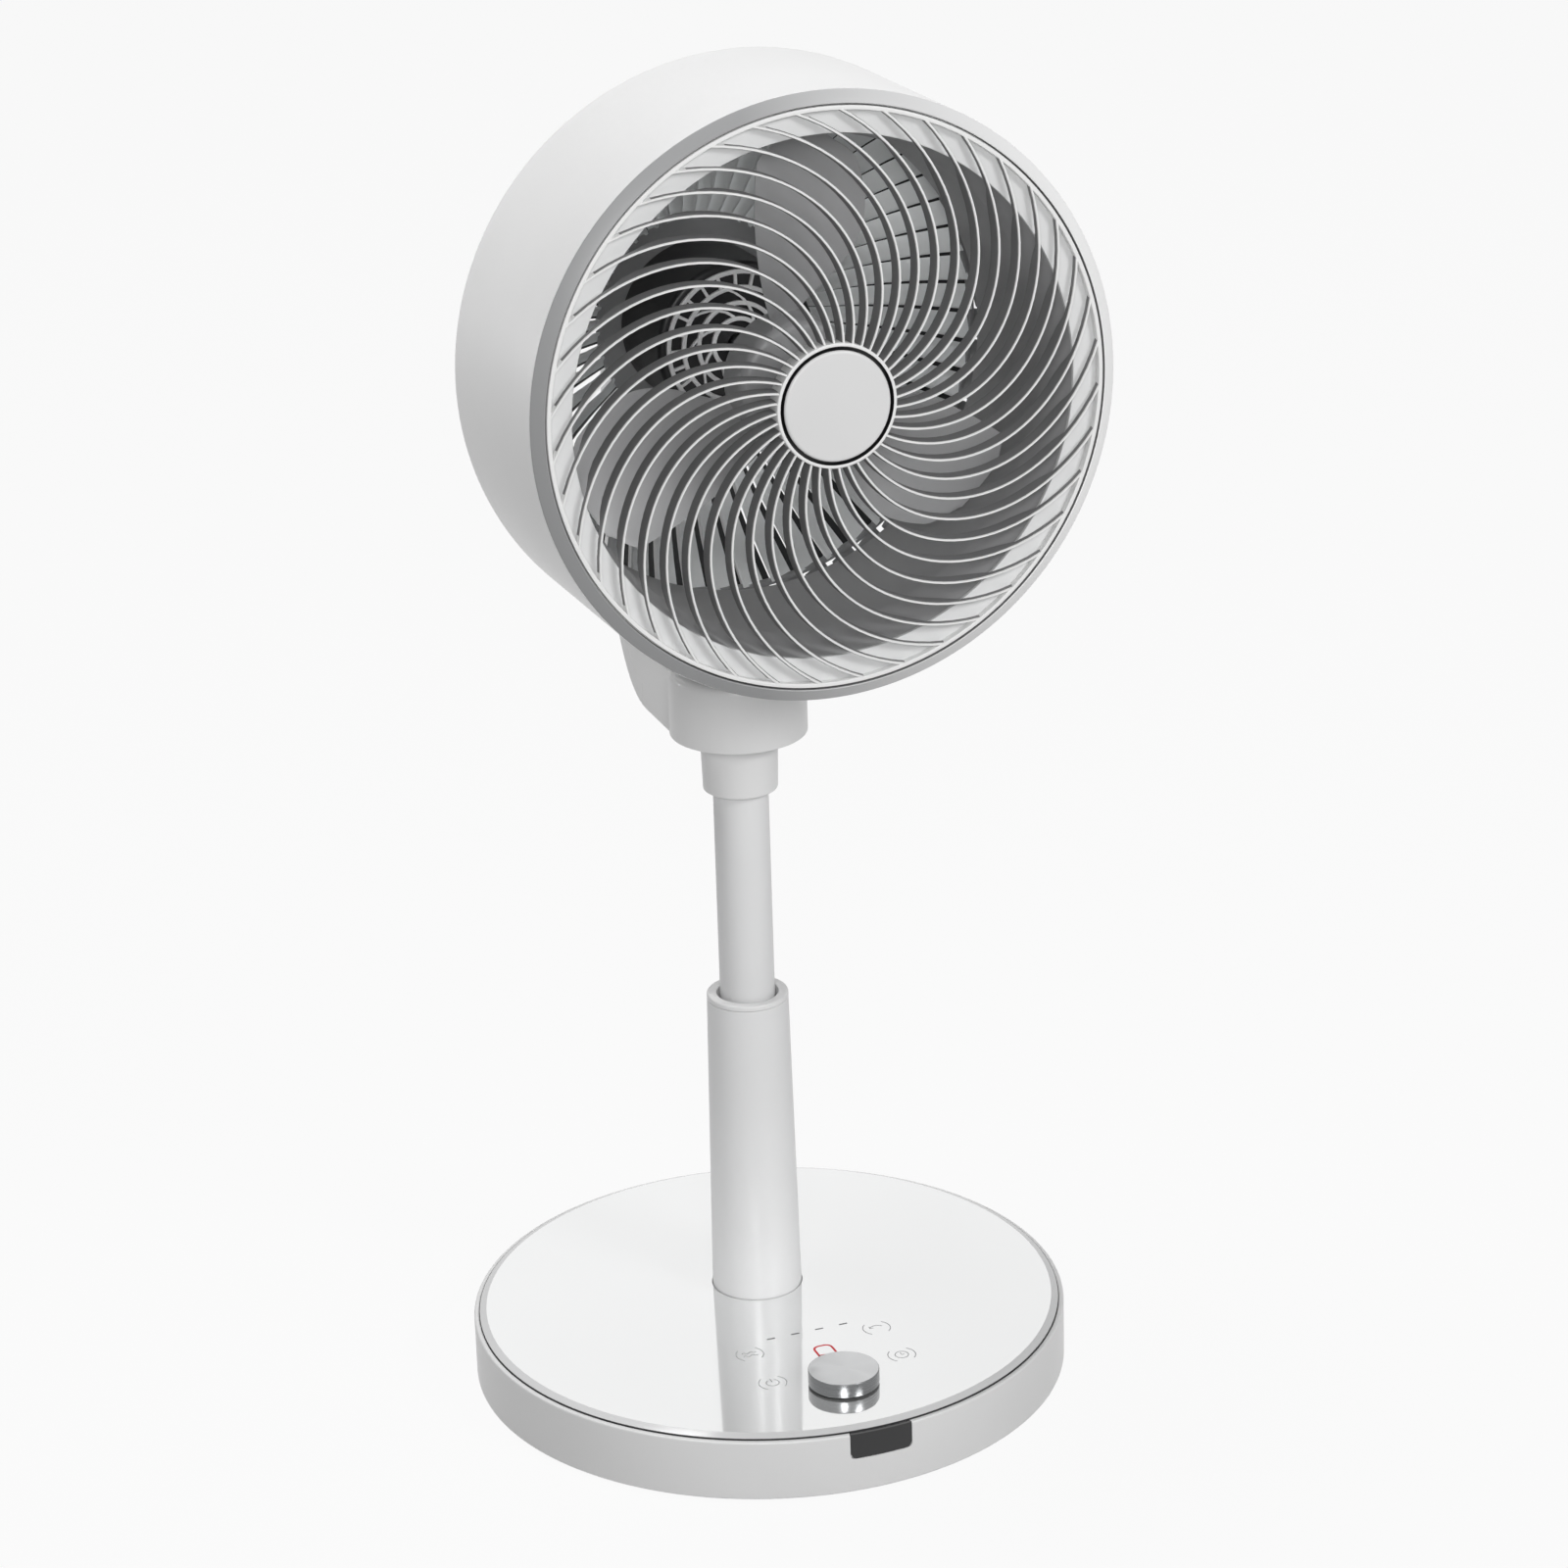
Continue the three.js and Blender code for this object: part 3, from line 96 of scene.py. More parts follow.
# %% A mesh from points, and rounded corners
def new_piece(name, points, faces):
    mesh = bpy.data.meshes.new(name)
    mesh.from_pydata([tuple(Vector(p) * MM) for p in points], [], faces)
    mesh.validate()
    shape = bmesh.new()
    shape.from_mesh(mesh)
    bmesh.ops.recalc_face_normals(shape, faces=shape.faces)
    shape.to_mesh(mesh)
    shape.free()
    piece = bpy.data.objects.new(name, mesh)
    bpy.context.scene.collection.objects.link(piece)
    return piece


def softened(corners, steps=4, closed=True):
    """Corners are (x, y) or (x, y, radius). Each radius becomes a short curve."""
    points = []
    last = len(corners) - 1
    for i, corner in enumerate(corners):
        here = Vector(corner[:2])
        radius = corner[2] if len(corner) > 2 else 0
        if radius == 0 or (not closed and i in (0, last)):
            points.append(tuple(here))
            continue
        before = Vector(corners[i - 1][:2]) - here
        after = Vector(corners[(i + 1) % len(corners)][:2]) - here
        reach = radius / math.tan(before.angle(after) / 2)
        reach = min(reach, before.length * 0.49, after.length * 0.49)
        start = here + before.normalized() * reach
        end = here + after.normalized() * reach
        for k in range(steps + 1):
            t = k / steps
            points.append(tuple(start * (1 - t) ** 2 + here * (2 * t * (1 - t)) + end * t**2))
    return points


rounded_square = softened([(0, 0), (4, 0), (4, 4, 1), (0, 4)])
print("a square with one rounded corner has", len(rounded_square), "points")


# %% Turned pieces
def lathe_data(profile, place, segments=160):
    """Points and faces of a closed (radius, along) profile spun about its axis."""
    rows = []
    points = []
    for radius, along in profile:
        if radius < 1e-6:
            rows.append([len(points)] * segments)
            points.append(place(0, 0, along))
            continue
        rows.append(list(range(len(points), len(points) + segments)))
        for k in range(segments):
            a = 2 * math.pi * k / segments
            points.append(place(radius * math.cos(a), radius * math.sin(a), along))
    faces = []
    for i, row in enumerate(rows):
        after = rows[(i + 1) % len(rows)]
        if row[0] == row[1] and after[0] == after[1]:
            continue
        for k in range(segments):
            n = (k + 1) % segments
            loop = [row[k], row[n], after[n], after[k]]
            faces.append(list(dict.fromkeys(loop)))
    return points, faces


def lathe(name, corners, place, segments=160, steps=4):
    return new_piece(name, *lathe_data(softened(corners, steps), place, segments))


turned_ring = lathe_data([(1, 0), (2, 0), (2, 1), (1, 1)], on_base)
print("a turned ring of four corners has", len(turned_ring[1]), "faces")


# %% Slabs and lofts
def slab_data(outline, low, high, place):
    count = len(outline)
    points = [place(u, v, low) for u, v in outline] + [place(u, v, high) for u, v in outline]
    faces = [[k, (k + 1) % count, (k + 1) % count + count, k + count] for k in range(count)]
    return points, faces + [list(range(count))[::-1], list(range(count, 2 * count))]


def slab(name, outline, low, high, place):
    return new_piece(name, *slab_data(outline, low, high, place))


def loft_data(sections):
    """Points and faces of a closed tube through sections that have the same number of points."""
    count = len(sections[0])
    points = [p for section in sections for p in section]
    faces = []
    for i in range(len(sections) - 1):
        for k in range(count):
            n = (k + 1) % count
            faces.append([i * count + k, i * count + n, (i + 1) * count + n, (i + 1) * count + k])
    end = (len(sections) - 1) * count
    return points, faces + [list(range(count))[::-1], list(range(end, end + count))]


def together(parts):
    """Several (points, faces) in one list of points and one of faces."""
    points = []
    faces = []
    for more_points, more_faces in parts:
        faces += [[i + len(points) for i in face] for face in more_faces]
        points += more_points
    return points, faces


def rounded_box(width, height, corner, x=0.0, y=0.0, steps=5):
    w, h = width / 2, height / 2
    ends = [(x - w, y - h), (x + w, y - h), (x + w, y + h), (x - w, y + h)]
    return softened([(u, v, corner) for u, v in ends], steps)


print("makers ready: lathe, slab and loft")

# %% [markdown]
# ## Cutting, joining and bevelling
# Holes and joined forms could be drawn face by face, but a Boolean keeps each step readable. The
# modifier's result becomes the mesh at once, so that the next step works on what is really there.


# %% Modifiers that are applied at once
def settle(piece):
    """Make the modifiers' result the piece's own mesh."""
    graph = bpy.context.evaluated_depsgraph_get()
    mesh = bpy.data.meshes.new_from_object(piece.evaluated_get(graph))
    piece.modifiers.clear()
    piece.data = mesh
    return piece


def combine(piece, tool, how):
    step = piece.modifiers.new("combine", "BOOLEAN")
    step.operation = how
    step.solver = "EXACT"
    step.object = tool
    bpy.context.view_layer.update()
    settle(piece)
    bpy.data.objects.remove(tool)
    return piece


def cut(piece, tool):
    return combine(piece, tool, "DIFFERENCE")


def bevelled(piece, width, segments=3, angle=30):
    step = piece.modifiers.new("bevel", "BEVEL")
    step.width = width * MM
    step.segments = segments
    step.limit_method = "ANGLE"
    step.angle_limit = math.radians(angle)
    step.use_clamp_overlap = True
    bpy.context.view_layer.update()
    return settle(piece)


print("cuts, joins and bevels become part of the mesh at once")

# %% [markdown]
# ## Dressing a piece
# Every piece needs a finish, a body to ride on, the record's slot and the CAD nodes that it stands
# for, so one function asks for them all. A moulding has smooth faces and crisp corners: faces that
# meet at a small angle are shaded as one, and a sharper angle stays an edge.

# %% Dress
SMOOTH_BELOW = math.radians(34)


def finish_faces(piece, finishes, which):
    """Give a piece several finishes; which(face) is the number of the one that a face takes."""
    for finish in finishes:
        piece.data.materials.append(finish)
    for face in piece.data.polygons:
        face.material_index = which(face)


def dress(piece, finish, body, slot, *nodes):
    """Give a piece its finish, the body it rides on and the CAD nodes it stands for; slot is not
    used.
    """
    if not piece.data.materials:
        piece.data.materials.append(finish)
    piece.data.shade_smooth()
    piece.data.set_sharp_from_angle(angle=SMOOTH_BELOW)
    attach(piece, body)
    if nodes:
        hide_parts(*nodes)
    print(piece.name, len(piece.data.polygons), "faces on", body)
    return piece


print("faces meet smoothly below", round(math.degrees(SMOOTH_BELOW)), "degrees")

# %% [markdown]
# ## Finishes
# Moulded plastic is never quite one colour: it has a fine spark-eroded grain, faint clouding and a
# roughness that wanders. Noise in object space gives all three, so the pattern stays on the piece
# as it moves. What is the same all over, such as the coat or metalness, sits on the shader itself.


# %% Node helpers
def new_finish(name):
    material = bpy.data.materials.new(name)
    material.use_nodes = True
    tree = material.node_tree
    shader = tree.nodes["Principled BSDF"]
    return material, tree, shader


def object_point(tree, scale=(1, 1, 1)):
    place = tree.nodes.new("ShaderNodeTexCoord")
    mapping = tree.nodes.new("ShaderNodeMapping")
    mapping.inputs["Scale"].default_value = scale
    tree.links.new(place.outputs["Object"], mapping.inputs["Vector"])
    return mapping.outputs["Vector"]


def noise(tree, point, scale, detail=2.0):
    node = tree.nodes.new("ShaderNodeTexNoise")
    node.inputs["Scale"].default_value = scale
    node.inputs["Detail"].default_value = detail
    tree.links.new(point, node.inputs["Vector"])
    return node.outputs["Fac"]


NOISE_LOW, NOISE_HIGH = 0.3, 0.7


def spread(tree, value, low, high):
    """The usual range of a noise becomes the range from low to high."""
    node = tree.nodes.new("ShaderNodeMapRange")
    node.inputs["From Min"].default_value = NOISE_LOW
    node.inputs["From Max"].default_value = NOISE_HIGH
    node.inputs["To Min"].default_value = low
    node.inputs["To Max"].default_value = high
    tree.links.new(value, node.inputs["Value"])
    return node.outputs["Result"]


def tinted(tree, value, dark, light):
    """The usual range of a noise becomes the range from a dark to a light colour."""
    node = tree.nodes.new("ShaderNodeValToRGB")
    first, last = node.color_ramp.elements
    first.position, last.position = NOISE_LOW, NOISE_HIGH
    first.color, last.color = (*dark, 1), (*light, 1)
    tree.links.new(value, node.inputs["Fac"])
    return node.outputs["Color"]


def bumped(tree, shader, value, strength, distance):
    node = tree.nodes.new("ShaderNodeBump")
    node.inputs["Strength"].default_value = strength
    node.inputs["Distance"].default_value = distance * MM
    tree.links.new(value, node.inputs["Height"])
    tree.links.new(node.outputs["Normal"], shader.inputs["Normal"])


print("node helpers ready")


# %% Moulded plastic and bare metal
def shade_of(colour, factor):
    return tuple(min(1.0, c * factor) for c in colour)


CLOUDING = 0.02


def moulded(name, colour, roughness, grain=0.12, coat=0.0, scale=1600):
    """Moulded plastic: clouded colour, wandering roughness and a fine grain."""
    material, tree, shader = new_finish(name)
    point = object_point(tree)
    clouds = noise(tree, point, 9, 3)
    fine = noise(tree, point, scale, 2)
    clouded = tinted(tree, clouds, shade_of(colour, 1 - CLOUDING), shade_of(colour, 1 + CLOUDING))
    tree.links.new(clouded, shader.inputs["Base Color"])
    wandering = spread(tree, fine, roughness - 0.04, roughness + 0.04)
    tree.links.new(wandering, shader.inputs["Roughness"])
    shader.inputs["Coat Weight"].default_value = coat
    shader.inputs["Coat Roughness"].default_value = 0.15
    bumped(tree, shader, fine, grain, 0.05)
    return material


def metal(name, colour, roughness, stretch=(1, 1, 1), scale=900, grain=0.1):
    """Bare metal with streaks along the axis whose stretch is small."""
    material, tree, shader = new_finish(name)
    point = object_point(tree, stretch)
    streaks = noise(tree, point, scale, 3)
    streaked = tinted(tree, streaks, shade_of(colour, 0.9), shade_of(colour, 1.06))
    tree.links.new(streaked, shader.inputs["Base Color"])
    wandering = spread(tree, streaks, roughness - 0.06, roughness + 0.06)
    tree.links.new(wandering, shader.inputs["Roughness"])
    shader.inputs["Metallic"].default_value = 1.0
    bumped(tree, shader, streaks, grain, 0.03)
    return material


print("makers of moulded plastic and bare metal ready")

# %% [markdown]
# ### The plastics
# The shells are satin white and the grille a touch warmer. The flare behind the rib ends and the
# hub cap are light grey, and what sits deep in the duct is mid grey. The motor can and the side
# window are black. The bevelled band on the front ring fades from grey on the left to white on the
# right, as in the photo: the grey is painted shade and the white is painted light.

# %% Plastics
white = moulded("satin_white", (0.80, 0.80, 0.80), 0.36, coat=0.15)
grille_white = moulded("grille_white", (0.84, 0.84, 0.835), 0.38)
# Painted shade: a dark grey for the ribs' sides and the groove round the grille.
grille_painted_shade = moulded("grille_painted_shade", (0.19, 0.19, 0.192), 0.5)
flare_grey = moulded("flare_grey", (0.74, 0.745, 0.745), 0.42)
# Painted shade: the band's left is dark grey because it faces away from the light.
band_painted_shading = moulded("band_painted_shading", (0.3, 0.302, 0.306), 0.34)
cap_grey = moulded("cap_grey", (0.72, 0.72, 0.72), 0.36)
plate_grey = moulded("plate_grey", (0.5, 0.505, 0.51), 0.5)
duct_grey = moulded("duct_grey", (0.4, 0.4, 0.405), 0.5)
blade_grey = moulded("blade_grey", (0.45, 0.452, 0.458), 0.36)
slat_pale = moulded("slat_pale", (0.92, 0.94, 0.94), 0.4)
# Painted shade: a darker grey for the outer slats and the guard's rings.
slat_painted_shade = moulded("slat_painted_shade", (0.3, 0.302, 0.308), 0.45)
vent_white = moulded("vent_white", (0.95, 0.95, 0.95), 0.4)
black = moulded("black", (0.014, 0.014, 0.015), 0.42)
window_black = moulded("window_black", (0.008, 0.008, 0.009), 0.16, grain=0.02, coat=0.2)
ear_grey = moulded("ear_grey", (0.62, 0.622, 0.625), 0.42)
slippery = moulded("slippery_cream", (0.72, 0.71, 0.66), 0.35)


def paint_shading_across(material, start, end, light):
    """Paint shading into a finish: it fades to a lighter colour between two places along x, in
    metres.
    """
    tree = material.node_tree
    shader = tree.nodes["Principled BSDF"]
    base = shader.inputs["Base Color"].links[0].from_socket
    split = tree.nodes.new("ShaderNodeSeparateXYZ")
    tree.links.new(object_point(tree), split.inputs["Vector"])
    ramp = tree.nodes.new("ShaderNodeMapRange")
    ramp.inputs["From Min"].default_value = start
    ramp.inputs["From Max"].default_value = end
    tree.links.new(split.outputs["X"], ramp.inputs["Value"])
    # A mix of colours has its factor in input 0, its colours in 6 and 7 and its result in output 2.
    mix = tree.nodes.new("ShaderNodeMix")
    mix.data_type = "RGBA"
    tree.links.new(ramp.outputs["Result"], mix.inputs[0])
    tree.links.new(base, mix.inputs[6])
    mix.inputs[7].default_value = (*light, 1)
    tree.links.new(mix.outputs[2], shader.inputs["Base Color"])


# Painted shading: the band is grey on the left and white on the right, as light falls on it.
paint_shading_across(band_painted_shading, -0.04, 0.13, (0.9, 0.9, 0.9))
print(len(bpy.data.materials), "finishes so far")

# %% [markdown]
# ### Rubber, boards, paint and metal
# Rubber feet are rough and speckled. The column is painted steel with a shallow orange peel. The
# circuit boards inside carry a faint track pattern in their green mask. Zinc, iron and windings
# differ mostly in colour and in how far their streaks run.

# %% Other finishes
rubber = moulded("foot_rubber", (0.022, 0.022, 0.023), 0.8, grain=0.5, scale=700)
paint = moulded("column_paint", (0.78, 0.782, 0.785), 0.38, grain=0.01, coat=0.1, scale=3000)
zinc = metal("zinc_plate", (0.55, 0.56, 0.57), 0.34)
iron = metal("cast_iron", (0.11, 0.11, 0.115), 0.62, grain=0.5, scale=500)
knob_side = metal("knob_side", (0.2, 0.204, 0.208), 0.24, stretch=(0.05, 0.05, 3), scale=500,
                  grain=0.02)


def track_board(name):
    material, tree, shader = new_finish(name)
    brick = tree.nodes.new("ShaderNodeTexBrick")
    brick.inputs["Scale"].default_value = 160
    brick.inputs["Color1"].default_value = (0.018, 0.11, 0.055, 1)
    brick.inputs["Color2"].default_value = (0.022, 0.13, 0.065, 1)
    brick.inputs["Mortar"].default_value = (0.05, 0.2, 0.1, 1)
    tree.links.new(object_point(tree), brick.inputs["Vector"])
    tree.links.new(brick.outputs["Color"], shader.inputs["Base Color"])
    shader.inputs["Roughness"].default_value = 0.4
    bumped(tree, shader, brick.outputs["Fac"], 0.2, 0.05)
    return material


def wound_wire(name):
    material, tree, shader = new_finish(name)
    wave = tree.nodes.new("ShaderNodeTexWave")
    wave.inputs["Scale"].default_value = 420
    wave.inputs["Distortion"].default_value = 1.5
    tree.links.new(object_point(tree), wave.inputs["Vector"])
    tree.links.new(tinted(tree, wave.outputs["Fac"], (0.35, 0.14, 0.05), (0.72, 0.36, 0.16)),
                   shader.inputs["Base Color"])
    shader.inputs["Metallic"].default_value = 0.9
    shader.inputs["Roughness"].default_value = 0.35
    bumped(tree, shader, wave.outputs["Fac"], 0.6, 0.2)
    return material


board_green = track_board("board_green")
windings = wound_wire("windings")
print("rubber, paint, metals, boards and windings made")

# %% [markdown]
# ### The turned knob and the glass
# A turned metal face throws two bright fans of light across it. That comes from grooves in rings,
# so the shader is anisotropic with a tangent that runs round the knob's own axis. The glass top is
# clear glass painted white underneath: under a hard clear surface lies a soft white one, which is
# what a strong, smooth reflection over a white base gives.


# %% Knob face and glass
def turned_face(name, centre):
    material, tree, shader = new_finish(name)
    shift = tree.nodes.new("ShaderNodeVectorMath")
    shift.operation = "SUBTRACT"
    shift.inputs[1].default_value = tuple(Vector(centre) * MM)
    tree.links.new(object_point(tree), shift.inputs[0])
    rings = tree.nodes.new("ShaderNodeTexWave")
    rings.wave_type = "RINGS"
    rings.rings_direction = "Z"
    rings.inputs["Scale"].default_value = 900
    rings.inputs["Distortion"].default_value = 0.6
    tree.links.new(shift.outputs["Vector"], rings.inputs["Vector"])
    tree.links.new(tinted(tree, rings.outputs["Fac"], (0.56, 0.565, 0.57), (0.66, 0.665, 0.67)),
                   shader.inputs["Base Color"])
    shader.inputs["Metallic"].default_value = 1.0
    shader.inputs["Roughness"].default_value = 0.3
    shader.inputs["Anisotropic"].default_value = 0.85
    tangent = tree.nodes.new("ShaderNodeTangent")
    tangent.direction_type = "RADIAL"
    tangent.axis = "Z"
    tree.links.new(tangent.outputs["Tangent"], shader.inputs["Tangent"])
    bumped(tree, shader, rings.outputs["Fac"], 0.05, 0.02)
    return material


def painted_glass(name):
    material, tree, shader = new_finish(name)
    clouds = noise(tree, object_point(tree), 6, 2)
    tree.links.new(tinted(tree, clouds, (0.88, 0.885, 0.885), (0.9, 0.905, 0.905)),
                   shader.inputs["Base Color"])
    tree.links.new(spread(tree, clouds, 0.05, 0.07), shader.inputs["Roughness"])
    shader.inputs["Metallic"].default_value = 0.8
    shader.inputs["Coat Weight"].default_value = 1.0
    shader.inputs["Coat Roughness"].default_value = 0.03
    return material


KNOB_Y = -110.6
KNOB_TOP = 45.7
KNOB_BOTTOM = 37.9
knob_face = turned_face("knob_face", (0, KNOB_Y, KNOB_TOP))
glass_white = painted_glass("glass_white")
# Painted shade: the grey of the glass chamfer stands in for the shade that its slope takes.
glass_edge_painted_shade = moulded("glass_edge_painted_shade", (0.7, 0.702, 0.705), 0.16, grain=0.01, coat=0.3, scale=3000)
print("knob face and glass made")

# %% [markdown]
# ## The base
# A wide moulded shell with a rounded top edge holds the weight and the electronics. It is a turned
# shape, so a lathe makes it, and holes are cut afterwards: for the column, the knob's stem, the
# display under the glass, the window in the front of its wall and the inlet in the back.

# %% Base shell
BASE_RADIUS = 160.0
BASE_WALL = 2.8
RIM = 2.6
RIM_TOP = 34.2
DECK_TOP = 30.3
DECK_BOTTOM = 27.6
SLEEVE_FOOT = 24.4
STEM_HOLE = 3.35
PLAY = 0.3
WINDOW_WIDTH, WINDOW_LOW, WINDOW_X = 34.0, 20.2, 1.2
NOTCH_HEIGHT = 30
INLET_WIDTH, INLET_HEIGHT, INLET_Z = 24.0, 15.0, 15.95
on_knob = moved(on_base, 0, KNOB_Y)

shell_outline = [
    (BASE_RADIUS - BASE_WALL, 1.0, 0.4), (BASE_RADIUS, 1.0, 1.0), (BASE_RADIUS, RIM_TOP, 2.0),
    (BASE_RADIUS - RIM, RIM_TOP, 0.3), (BASE_RADIUS - RIM, DECK_TOP), (0, DECK_TOP),
    (0, DECK_BOTTOM), (BASE_RADIUS - BASE_WALL, DECK_BOTTOM),
]
base_shell = lathe("base_shell_v", shell_outline, on_base, 224, 5)


def rod(name, radius, low, high, place, segments=48):
    return lathe(name, [(0, low), (radius, low), (radius, high), (0, high)], place, segments)


def front_slab(name, outline, near, far):
    """An outline in x and z, raised from near to far along y."""
    return slab(name, outline, near, far, lambda u, v, along: Vector((u, along, v)))


def pierce(piece, low, high):
    """Cut the holes for the column and for the knob's stem."""
    cut(piece, rod("throat", SLEEVE_FOOT + PLAY, low, high, on_column, 96))
    cut(piece, rod("stem_hole", STEM_HOLE, low, high, on_knob))


pierce(base_shell, 20, 34)
notch = rounded_box(WINDOW_WIDTH + 0.5, NOTCH_HEIGHT, 3.2, WINDOW_X,
                    WINDOW_LOW - 0.25 + NOTCH_HEIGHT / 2)
cut(base_shell, front_slab("window_notch", notch, -BASE_RADIUS - 2, -BASE_RADIUS + RIM - 0.2))
inlet_gap = rounded_box(INLET_WIDTH + 0.6, INLET_HEIGHT + 0.6, 2.2, 0, INLET_Z)
cut(base_shell, front_slab("inlet_hole", inlet_gap, BASE_RADIUS - 8, BASE_RADIUS + 2))
display_gap = rounded_box(26.6, 34.6, 0.5, 0, -76)
cut(base_shell, slab("display_hole", display_gap, 20, 34, on_base))
dress(base_shell, white, "base", "white_plastic", "base_shell")

# %% [markdown]
# ## The glass top
# The sheet of glass is flat, with a broad chamfer round its edge whose light grey is painted shade.
# It stands a little over the shell's rim on a black ring that paints the shade of the gap, the dark
# line between the glass and the shell. The chamfer is steep enough to hide behind the top at the
# far side, as in the photo.

# %% Glass top
GLASS_RADIUS = BASE_RADIUS - RIM - 0.4
GLASS_TOP = 36.7
GLASS_EDGE = 35.1
GLASS_BOTTOM = 30.6
CHAMFER = 3.7
FOOT_INSET = 1.2
SHADE_RING_TOP = 34.95

glass_outline = [
    (0, GLASS_BOTTOM), (GLASS_RADIUS - FOOT_INSET, GLASS_BOTTOM, 0.3),
    (GLASS_RADIUS - FOOT_INSET, SHADE_RING_TOP), (GLASS_RADIUS, SHADE_RING_TOP), (GLASS_RADIUS, GLASS_EDGE),
    (GLASS_RADIUS - CHAMFER, GLASS_TOP, 0.8), (0, GLASS_TOP),
]
glass_top = lathe("glass_top_v", glass_outline, on_base, 224)
pierce(glass_top, 28, 40)
edge_shade_start = (GLASS_RADIUS - CHAMFER) * MM
# The chamfer's faces take the grey of painted shade.
finish_faces(glass_top, (glass_white, glass_edge_painted_shade),
             lambda face: int(face.center.xy.length > edge_shade_start))
dress(glass_top, glass_white, "base", "white_glass", "glass_top")
# Painted shade: a black rubber ring in the gap under the glass's edge draws its shadow line.
shade_ring_inner, shade_ring_outer = GLASS_RADIUS - 1.18, GLASS_RADIUS + 0.35
shade_ring_low, shade_ring_high = DECK_TOP + 0.3, SHADE_RING_TOP - 0.02
shade_ring_corners = [
    (shade_ring_inner, shade_ring_low), (shade_ring_outer, shade_ring_low), (shade_ring_outer, shade_ring_high, 0.1),
    (shade_ring_inner, shade_ring_high, 0.1),
]
dress(lathe("glass_shade_ring", shade_ring_corners, on_base, 224), rubber, "base", "rubber")

# %% [markdown]
# ## The prints and lights of the control top
# Four dashes show the speed, a thin red digit shines through the glass, and four ringed touch
# marks lie round the knob. They are thin strips a few hundredths of a millimetre above the glass.

# %% Flat strips
MARK_LOW = GLASS_TOP + 0.01
MARK_HIGH = GLASS_TOP + 0.05


def strip_data(path, width):
    """A flat strip along a path of (x, y) points on the glass."""
    sections = []
    for i, point in enumerate(path):
        here = Vector(point)
        along = Vector(path[min(i + 1, len(path) - 1)]) - Vector(path[max(i - 1, 0)])
        side = Vector((-along.y, along.x)).normalized() * (width / 2)
        corners = [(here + side, MARK_LOW), (here - side, MARK_LOW),
                   (here - side, MARK_HIGH), (here + side, MARK_HIGH)]
        sections.append([on_base(p.x, p.y, z) for p, z in corners])
    return loft_data(sections)


def arc(x, y, radius, start, end, steps=14):
    angles = [math.radians(start + (end - start) * k / steps) for k in range(steps + 1)]
    return [(x + radius * math.cos(a), y + radius * math.sin(a)) for a in angles]


mark_grey = moulded("mark_grey", (0.42, 0.425, 0.43), 0.4, grain=0.02)
dash_grey = moulded("dash_grey", (0.17, 0.172, 0.175), 0.4, grain=0.02)
digit_red = moulded("digit_red", (0.7, 0.008, 0.018), 0.4, grain=0.02)
print("the prints are", round(MARK_HIGH - MARK_LOW, 2), "mm thick")

# %% Dashes and digit
DASHES = (-17.6, -3.7, 10.0, 23.8)
DASH_HALF = 2.3
DASH_Y = -49.5
dashes = together([strip_data([(x - DASH_HALF, DASH_Y), (x + DASH_HALF, DASH_Y)], 1.1)
                   for x in DASHES])
dress(new_piece("speed_dashes", *dashes), dash_grey, "base", "dark_plastic")

DIGIT_X, DIGIT_Y = 4.0, -78.0
DIGIT_HALF = 4.9
DIGIT_LOW, DIGIT_HIGH = -11, 10.5


def digit_at(points):
    return [(DIGIT_X + x, DIGIT_Y + y) for x, y in points]


arch = [
    (-DIGIT_HALF, DIGIT_LOW), (-DIGIT_HALF, DIGIT_HIGH, 4), (DIGIT_HALF, DIGIT_HIGH, 4),
    (DIGIT_HALF, DIGIT_LOW),
]
middle_bar = [
    (-DIGIT_HALF, 0.5), (-DIGIT_HALF / 3, 0.5), (DIGIT_HALF / 3, -0.7), (DIGIT_HALF, -0.7),
]
digit_paths = (softened(arch, 6, closed=False), middle_bar)
digit = together([strip_data(digit_at(path), 1.25) for path in digit_paths])
dress(new_piece("speed_digit", *digit), digit_red, "base", "black_plastic")


# %% Touch marks
LINE = 0.5
THIN_LINE = 0.45


def touch_mark(x, y, kind):
    """One generic mark between two brackets: swing, clock, wave or power."""
    lines = [arc(x, y, 7.4, 130, 230), arc(x, y, 7.4, -50, 50)]
    thin_lines = []
    if kind == "swing":
        lines.append(arc(x, y - 1.5, 4.2, 35, 145))
        thin_lines.append([(x - 3.4, y + 2.6), (x - 3.4, y + 0.6), (x - 1.6, y + 0.4)])
    elif kind == "clock":
        lines.append(arc(x, y, 3.6, 0, 360, 24))
        thin_lines.append([(x, y + 2.2), (x, y), (x + 1.6, y)])
    elif kind == "wave":
        for row in (-1.6, 1.6):
            lines.append([(x - 4 + 8 * k / 16, y + row + 0.9 * math.sin(k / 16 * 4 * math.pi))
                          for k in range(17)])
    else:
        lines += [arc(x, y, 3.4, 120, 420, 24), [(x, y + 4.2), (x, y + 0.8)]]
    return ([strip_data(path, LINE) for path in lines]
            + [strip_data(path, THIN_LINE) for path in thin_lines])


marks = (touch_mark(38.5, -61, "swing") + touch_mark(39.5, -94, "clock")
         + touch_mark(-34, -61, "wave") + touch_mark(-34, -95, "power"))
dress(new_piece("touch_marks", *together(marks)), mark_grey, "base", "grey_plastic")

# %% [markdown]
# ## The knob, the window and the inlet
# The knob is a turned aluminium cap on the encoder's stem, with a small chamfer. The window over
# the remote sensor is a curved black plate in a notch of the rim. The inlet at the back is a deep
# rounded socket with two pins, so the cord can be taken off.

